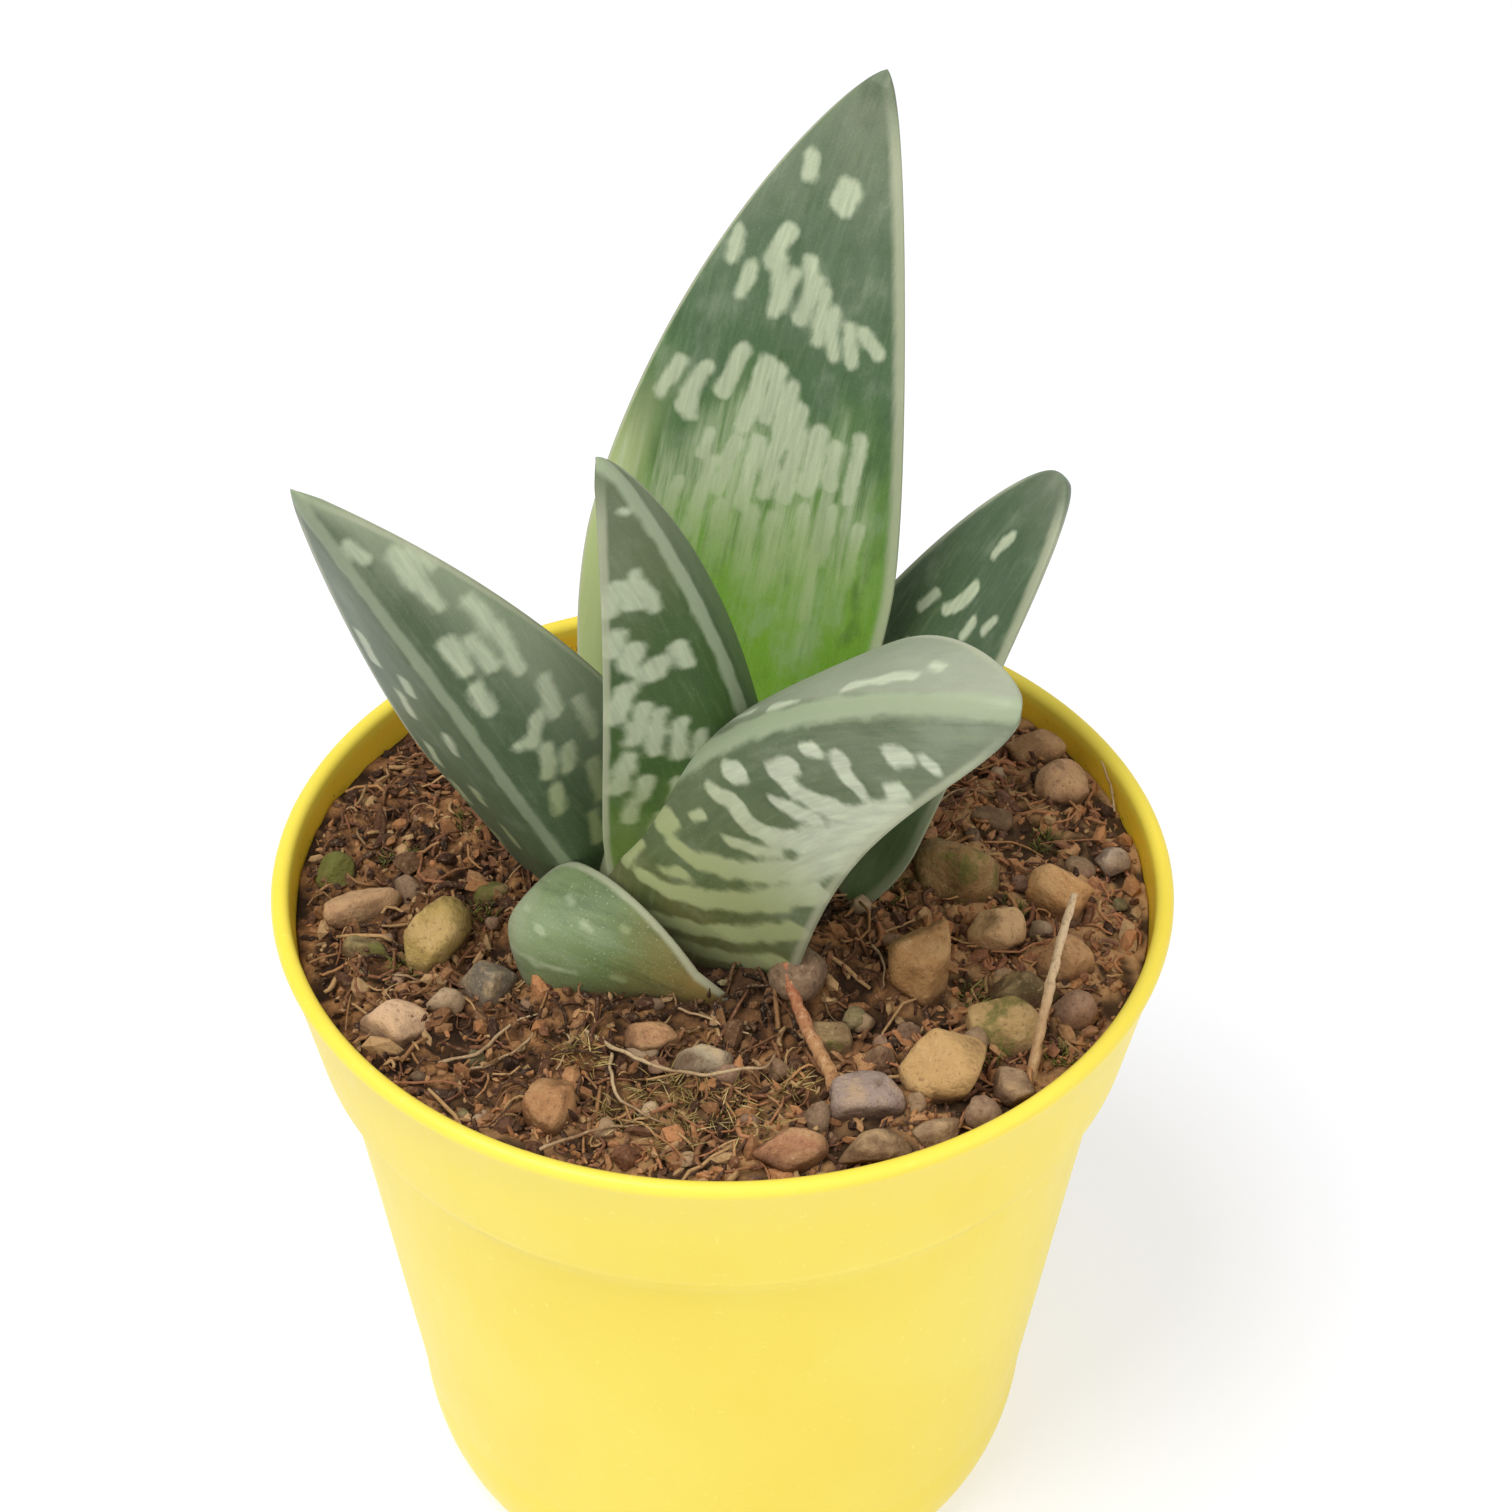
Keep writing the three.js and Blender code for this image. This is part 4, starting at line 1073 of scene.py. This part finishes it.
def strands(paths, radii, sides):
    # Tubes round many paths at once: (strand, station, 3) paths and (strand, station) radii.
    paths, radii = np.asarray(paths, float), np.asarray(radii, float)
    count, stations = paths.shape[:2]
    along = np.gradient(paths, axis=1)
    along /= np.linalg.norm(along, axis=2)[..., None] + 1e-9
    upward = np.where(np.abs(along[..., 2:]) > 0.9, [[[1.0, 0, 0]]], [[[0, 0, 1.0]]])
    side = np.cross(along, upward)
    side /= np.linalg.norm(side, axis=2)[..., None]
    other = np.cross(side, along)
    turn = np.linspace(0, 2 * np.pi, sides, endpoint=False)
    ring = (side[:, :, None] * np.cos(turn)[:, None] - other[:, :, None] * np.sin(turn)[:, None])
    points = paths[:, :, None] + ring * radii[:, :, None, None]
    own = stations * sides
    quads = tubeQuads(stations, sides)[None] + own * np.arange(count)[:, None, None]
    base = np.arange(sides)
    low = np.stack([np.full(sides - 2, base[0]), base[2:], base[1:-1]], -1)
    high = np.stack([np.full(sides - 2, base[0]), base[1:-1], base[2:]], -1) + (stations - 1) * sides
    caps = np.vstack([low, high])[None] + own * np.arange(count)[:, None, None]
    return points.reshape(-1, 3), quads.reshape(-1, 4), caps.reshape(-1, 3)


def makeFibres(look):
    # Short bent shreds of peat and root that lie over the soil.
    rng = np.random.default_rng(23)
    count, stations = look["fibres"], 5
    x, y = scatter(rng, count, 0.96)
    heading = rng.uniform(0, 2 * np.pi, count)
    length = spreadSizes(rng, look["fibreLength"], count)
    bend = rng.normal(0, 0.8, count)
    t = np.linspace(-0.5, 0.5, stations)
    way = heading[:, None] + bend[:, None] * t
    px = x[:, None] + np.cos(way) * t * length[:, None]
    py = y[:, None] + np.sin(way) * t * length[:, None]
    shrink = np.minimum(1, (soilRadius - 0.3) / np.hypot(px, py))
    px, py = px * shrink, py * shrink
    pz = soilHeight(px, py) + 0.25 + rng.uniform(0, 0.7, (count, 1))
    pz = pz + rng.normal(0, 0.3, (count, 1)) * t * 2
    thick = spreadSizes(rng, look["fibreRadius"], (count, 1)) * (1 - 1.2 * t ** 2)
    points, quads, caps = strands(np.stack([px, py, pz], -1), thick, 4)
    piece = fillMesh("peat_fibres", points, quads, caps)
    palette = [(120, 82, 54), (146, 106, 68), (88, 56, 38), (172, 136, 92), (122, 80, 54), (66, 44, 32)]
    # Painted light and painted shade of the ground, on each fibre.
    tone = shaded(tonesFrom(rng, count, palette), x, y)
    keepValues(piece, tone=np.repeat(tone, stations * 4, axis=0))
    return finishPiece(piece, looseMaterial("peat_fibre", 3000, 0.2))


# Each tuft's place and reach, then 1 for green moss or 0 for dry hairs.
mossTufts = [
    (-6, -27.5, 2.2, 0), (-2, -30.5, 2.6, 0), (2.5, -33, 2.4, 0), (-4.5, -33.5, 2.2, 0),
    (0.5, -28.6, 1.8, 0), (-9, -31, 1.8, 0), (6, -28, 1.5, 0), (16, -3, 2, 1), (18.5, 3.5, 2, 1),
    (27, -4.5, 1.4, 1), (23, -16, 1.6, 1), (23.5, -23.5, 1.6, 1), (-24, 8, 2.4, 1),
    (-18, 10, 1.8, 1), (-31, 3.5, 1.8, 1), (-22.5, -5, 1.6, 1), (-29, -12.5, 1.5, 1),
    (30, -23.5, 1.4, 1), (-12.5, -24.5, 1.6, 0), (-6, 31, 2, 1), (12, 33, 1.8, 1), (31, 6, 1.4, 1),
]


def makeMoss(look):
    # Tufts of short hairs that lean out from each tuft's middle.
    rng = np.random.default_rng(31)
    each, stations = look["hairs"], 4
    centre = np.repeat(np.array([tuft[:2] for tuft in mossTufts], float), each, axis=0)
    reach = np.repeat(np.array([tuft[2] for tuft in mossTufts]), each)
    green = np.repeat(np.array([tuft[3] for tuft in mossTufts]), each)
    count = len(centre)
    heading = rng.uniform(0, 2 * np.pi, count)
    away = reach * np.sqrt(rng.uniform(0, 1, count))
    x, y = centre[:, 0] + away * np.cos(heading), centre[:, 1] + away * np.sin(heading)
    length = rng.uniform(0.7, 2.0, count) * np.where(green == 1, 0.7, 1.25)
    way = heading + rng.normal(0, 1.1, count)
    lean = np.where(green == 1, rng.uniform(0.2, 1.0, count), rng.uniform(0.9, 1.45, count))
    t = np.linspace(0, 1, stations)[None, :]
    px = x[:, None] + np.cos(way)[:, None] * np.sin(lean)[:, None] * length[:, None] * t
    py = y[:, None] + np.sin(way)[:, None] * np.sin(lean)[:, None] * length[:, None] * t
    shrink = np.minimum(1, (soilRadius - 0.3) / np.hypot(px, py))
    px, py = px * shrink, py * shrink
    pz = (soilHeight(x, y) + 0.1)[:, None] + np.cos(lean)[:, None] * length[:, None] * t * (1.4 - 0.5 * t)
    pz = pz + rng.uniform(0, 0.5, (count, 1))
    thick = np.full((count, 1), look["hairRadius"]) * (1.25 - t)
    points, quads, caps = strands(np.stack([px, py, pz], -1), thick, 3)
    fresh = tonesFrom(rng, count, [(104, 112, 48), (128, 128, 60), (86, 92, 40)])
    dry = tonesFrom(rng, count, [(164, 140, 84), (142, 116, 66), (186, 164, 110), (124, 104, 56)])
    tone = np.where((green == 1)[:, None], fresh, dry)
    piece = fillMesh("moss_tufts", points, quads, caps)
    keepValues(piece, tone=np.repeat(tone, stations * 3, axis=0))
    return finishPiece(piece, looseMaterial("moss", 2400, 0.1))


def looseMaterial(name, scale, relief):
    # The tone kept on each item, broken up by fine noise.
    n = Nodes(name, Specular_IOR_Level=0.2, Roughness=0.9)
    place, tone = n.place(), n.vector("tone")
    fine = n.noise(place, scale, 4.0, 0.7)
    tone = n.tint(tone, fine, 0.5, 0.75, 0.35, (190, 166, 132))
    tone = n.tint(tone, fine, 0.5, 0.28, 0.5, (48, 32, 22))
    n.into("Base Color", tone)
    n.into("Normal", n.bump(fine, 0.0002, relief))
    return n.material


makeCrumbs(groundLook)
makeGravel(groundLook)
makeFibres(groundLook)
makeMoss(groundLook)
print("ground cover made")


# Paths run over the plan, with heights above the soil. A root is its radius and its path.
stalks = {
    "stalk_front": {
        "radius": (0.72, 0.42), "seed": 3, "colours": ((170, 126, 84), (150, 92, 62)),
        "path": [(10.9, -30.5, -1.8), (9.6, -27, 1.2), (7.4, -22, 3), (5.9, -17.6, 4.8), (6.1, -14.8, 7.4)],
    },
    "stalk_right": {
        "radius": (0.5, 0.34), "seed": 8, "colours": ((176, 140, 100), (206, 178, 140)),
        "path": [(26.7, -27.6, -2), (27.6, -24.6, 2), (28.8, -20.4, 5.4), (30, -16.6, 8.2),
                 (31.4, -13, 10.6)],
    },
}
roots = [
    (0.17, [(-25.6, -24.6, 0.5), (-21.6, -23.6, 1.2), (-18.7, -20, 1.3), (-16.2, -18.2, 1.0)]),
    (0.13, [(-24, -25.5, 0.4), (-20.5, -24.8, 0.9), (-17.4, -22, 1.1), (-16.6, -19.4, 0.9)]),
    (0.2, [(-15.9, -18.5, 0.9), (-11, -22.3, 1.4), (-6.4, -26.2, 2), (-2, -28, 2.6), (3.3, -26.8, 2.2),
           (5.1, -23.6, 1.2)]),
    (0.16, [(-10, -23.6, 0.8), (-9.8, -26.8, 1.4), (-9, -29.9, 1.4), (-6.3, -31.7, 1.3),
            (-3.7, -33.6, 0.8)]),
    (0.17, [(-15.7, -35.4, 0.6), (-13.2, -34.5, 1.4), (-10.6, -33.6, 1.4), (-7.2, -32.4, 1)]),
    (0.13, [(13.8, -11.7, 3), (14.6, -13.2, 2.8), (14.6, -15.6, 1.6)]),
    (0.13, [(-4, -18.6, 1.6), (-1, -20.4, 1.8), (2.4, -21.6, 1.4)]),
    (0.12, [(-14.5, -20.5, 1), (-13.5, -23, 1.4), (-14.8, -26, 0.9)]),
    (0.12, [(-31, -13, 0.8), (-28.4, -14.6, 1.5), (-26, -14, 1.2)]),
    (0.12, [(20, 10, 0.8), (23, 12.6, 1.6), (27, 12, 0.9)]),
    (0.13, [(38.2, 10.8, 0.4), (37.9, 13.1, 1.9), (37.1, 15.6, 2.6)]),
    (0.12, [(-8, 26, 0.8), (-3, 28.5, 1.7), (3, 28, 1.1)]),
]


def smoothPath(points, count):
    # A curve through every point, each stretch a cubic whose slopes come from its neighbours.
    points = np.array(points, float)
    ends = np.vstack([2 * points[0] - points[1], points, 2 * points[-1] - points[-2]])
    place = np.linspace(0, len(points) - 1 - 1e-9, count)
    k = place.astype(int)
    t = (place - k)[:, None]
    a, b, c, d = ends[k], ends[k + 1], ends[k + 2], ends[k + 3]
    square, cube = 2 * a - 5 * b + 4 * c - d, 3 * b - a - 3 * c + d
    return 0.5 * (2 * b + (c - a) * t + square * t ** 2 + cube * t ** 3)


def tube(path, radii, sides, seed, knobbly):
    # A knobbly tube round one path, its ends drawn in to poles.
    along = np.gradient(path, axis=0)
    along /= np.linalg.norm(along, axis=1)[:, None]
    side = np.cross(along, [0.3, -0.2, 1])
    side /= np.linalg.norm(side, axis=1)[:, None]
    other = np.cross(side, along)
    turn = np.linspace(0, 2 * np.pi, sides, endpoint=False)
    ring = side[:, None] * np.cos(turn)[:, None] - other[:, None] * np.sin(turn)[:, None]
    bumps = 1 + knobbly * layeredNoise(ring * 0.6 + path[:, None] * 1.1, 0.9, seed, 3)
    grid = path[:, None] + ring * (radii[:, None] * bumps)[..., None]
    return closedTube(grid, path[0] - along[0] * radii[0] * 0.3, path[-1] + along[-1] * radii[-1] * 0.3)


def makeStalks():
    # A tube along a smooth curve through the path, thinning to its top, with one swollen joint.
    spread = soilRadius / pebbleLook["planRadius"]
    for name, stalk in stalks.items():
        path = smoothPath([(x * spread, y * spread, soilLevel + z) for x, y, z in stalk["path"]], 90)
        share = np.linspace(0, 1, 90)
        radii = blend(stalk["radius"][0], stalk["radius"][1], share)
        radii = radii * (1 + 0.16 * np.exp(-((share - 0.52) / 0.03) ** 2)) * np.where(share > 0.97, 0.8, 1)
        points, quads, caps = tube(path, radii, 20, stalk["seed"], 0.22)
        piece = fillMesh(name + "_twig", points, quads, caps)
        up = np.append(np.repeat(share, 20), [0, 1])
        low, high = (linearTone(c) for c in stalk["colours"])
        keepValues(piece, tone=blend(low, high, smoothStep(0.3, 0.7, up)[:, None]))
        finishPiece(piece, barkMaterial(name), [name])


def barkMaterial(name):
    n = Nodes(name + "_bark", Roughness=0.85, Specular_IOR_Level=0.25)
    place = n.place()
    fine = n.noise(n.stretch(place, (1, 1, 0.5)), 1900, 4.0, 0.7)
    tone = n.tint(n.vector("tone"), fine, 0.5, 0.72, 0.5, (214, 184, 142))
    tone = n.tint(tone, fine, 0.48, 0.3, 0.6, (92, 54, 34))
    n.into("Base Color", tone)
    n.into("Normal", n.bump(fine, 0.0002, 0.8))
    return n.material


def makeRoots():
    # Thin pale roots, uncovered by watering, in one piece.
    tubes = []
    for number, (radius, points) in enumerate(roots):
        path = smoothPath([(x, y, soilLevel + z) for x, y, z in points], 14 * len(points))
        wander = np.stack([softNoise(path + k * 9, 1.6, 70 + number + k) for k in range(3)], -1)
        path = path + 0.28 * wander
        share = np.linspace(0, 1, len(path))
        radii = radius * (1.1 - 0.5 * share)
        tubes.append(tube(path, radii, 8, 60 + number, 0.3))
    points, quads, caps = joined(tubes)
    piece = fillMesh("loose_roots", points, quads, caps)
    share = layeredNoise(points, 4, 77, 2)[:, None] * 0.5 + 0.5
    dark, pale = linearTone((120, 84, 56)), linearTone((196, 172, 132))
    keepValues(piece, tone=blend(dark, pale, np.clip(share, 0, 1)))
    return finishPiece(piece, barkMaterial("root"))


def stemMaterial():
    n = Nodes("plant_stem", Roughness=0.6, Specular_IOR_Level=0.35)
    place = n.place()
    fine = n.noise(n.stretch(place, (1, 1, 0.3)), 900, 4.0)
    n.into("Base Color", n.ramp(fine, [
        (0.3, colour(96, 104, 60)), (0.6, colour(146, 142, 92)), (0.8, colour(120, 96, 62))]))
    n.into("Normal", n.bump(fine, 0.0002, 0.6))
    return n.material


makeStalks()
makeRoots()
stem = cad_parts["stem"]
stem.data.materials.clear()
stem.data.materials.append(stemMaterial())
print("stalks, roots and stem made")


lightLook = {
    "sky": 0.5,
    "key": {"energy": 6.7, "size": 620, "from": (-0.42, -0.3, 1.0)},
    "fill": {"energy": 2.5, "size": 900, "from": (0.85, -0.8, 0.8)},
    "aim": (0, 0, 80),
    "distance": 900,
    "floorReach": 20000,
    "floorColour": (0.6, 0.61, 0.66),
    "floorGlow": 0.43,
}


def makeFloor():
    # One flat square that reaches past the horizon of every view.
    reach = lightLook["floorReach"]
    points = np.array([(-reach, -reach, 0), (reach, -reach, 0), (reach, reach, 0), (-reach, reach, 0)])
    floor = fillMesh("studio_floor", points, [[0, 1, 2, 3]])
    n = Nodes("studio_floor", Roughness=0.9, Specular_IOR_Level=0.0)
    n.shader.inputs["Base Color"].default_value = (*lightLook["floorColour"], 1)
    n.shader.inputs["Emission Color"].default_value = (1, 1, 1, 1)
    n.shader.inputs["Emission Strength"].default_value = lightLook["floorGlow"]
    floor.data.materials.append(n.material)


def makeLights(look):
    # An even sky and two round lamps, each set back from the aim along its own direction.
    world = bpy.data.worlds.new("soft_studio")
    bpy.context.scene.world = world
    world.use_nodes = True
    sky = world.node_tree.nodes["Background"]
    sky.inputs[0].default_value = (1, 1, 1, 1)
    sky.inputs[1].default_value = look["sky"]
    for name in ("key", "fill"):
        lamp = bpy.data.lights.new(name, "AREA")
        lamp.energy, lamp.size = look[name]["energy"], look[name]["size"] * mm
        lamp.shape = "DISK"
        holder = bpy.data.objects.new(name, lamp)
        bpy.context.collection.objects.link(holder)
        way = np.array(look[name]["from"], float)
        way /= np.linalg.norm(way)
        holder.location = (np.array(look["aim"]) + way * look["distance"]) * mm
        holder.rotation_euler = (math.acos(way[2]), 0, math.atan2(way[1], way[0]) + math.pi / 2)


makeFloor()
makeLights(lightLook)
bpy.context.scene.view_settings.view_transform = "Standard"
print("floor and lights made")
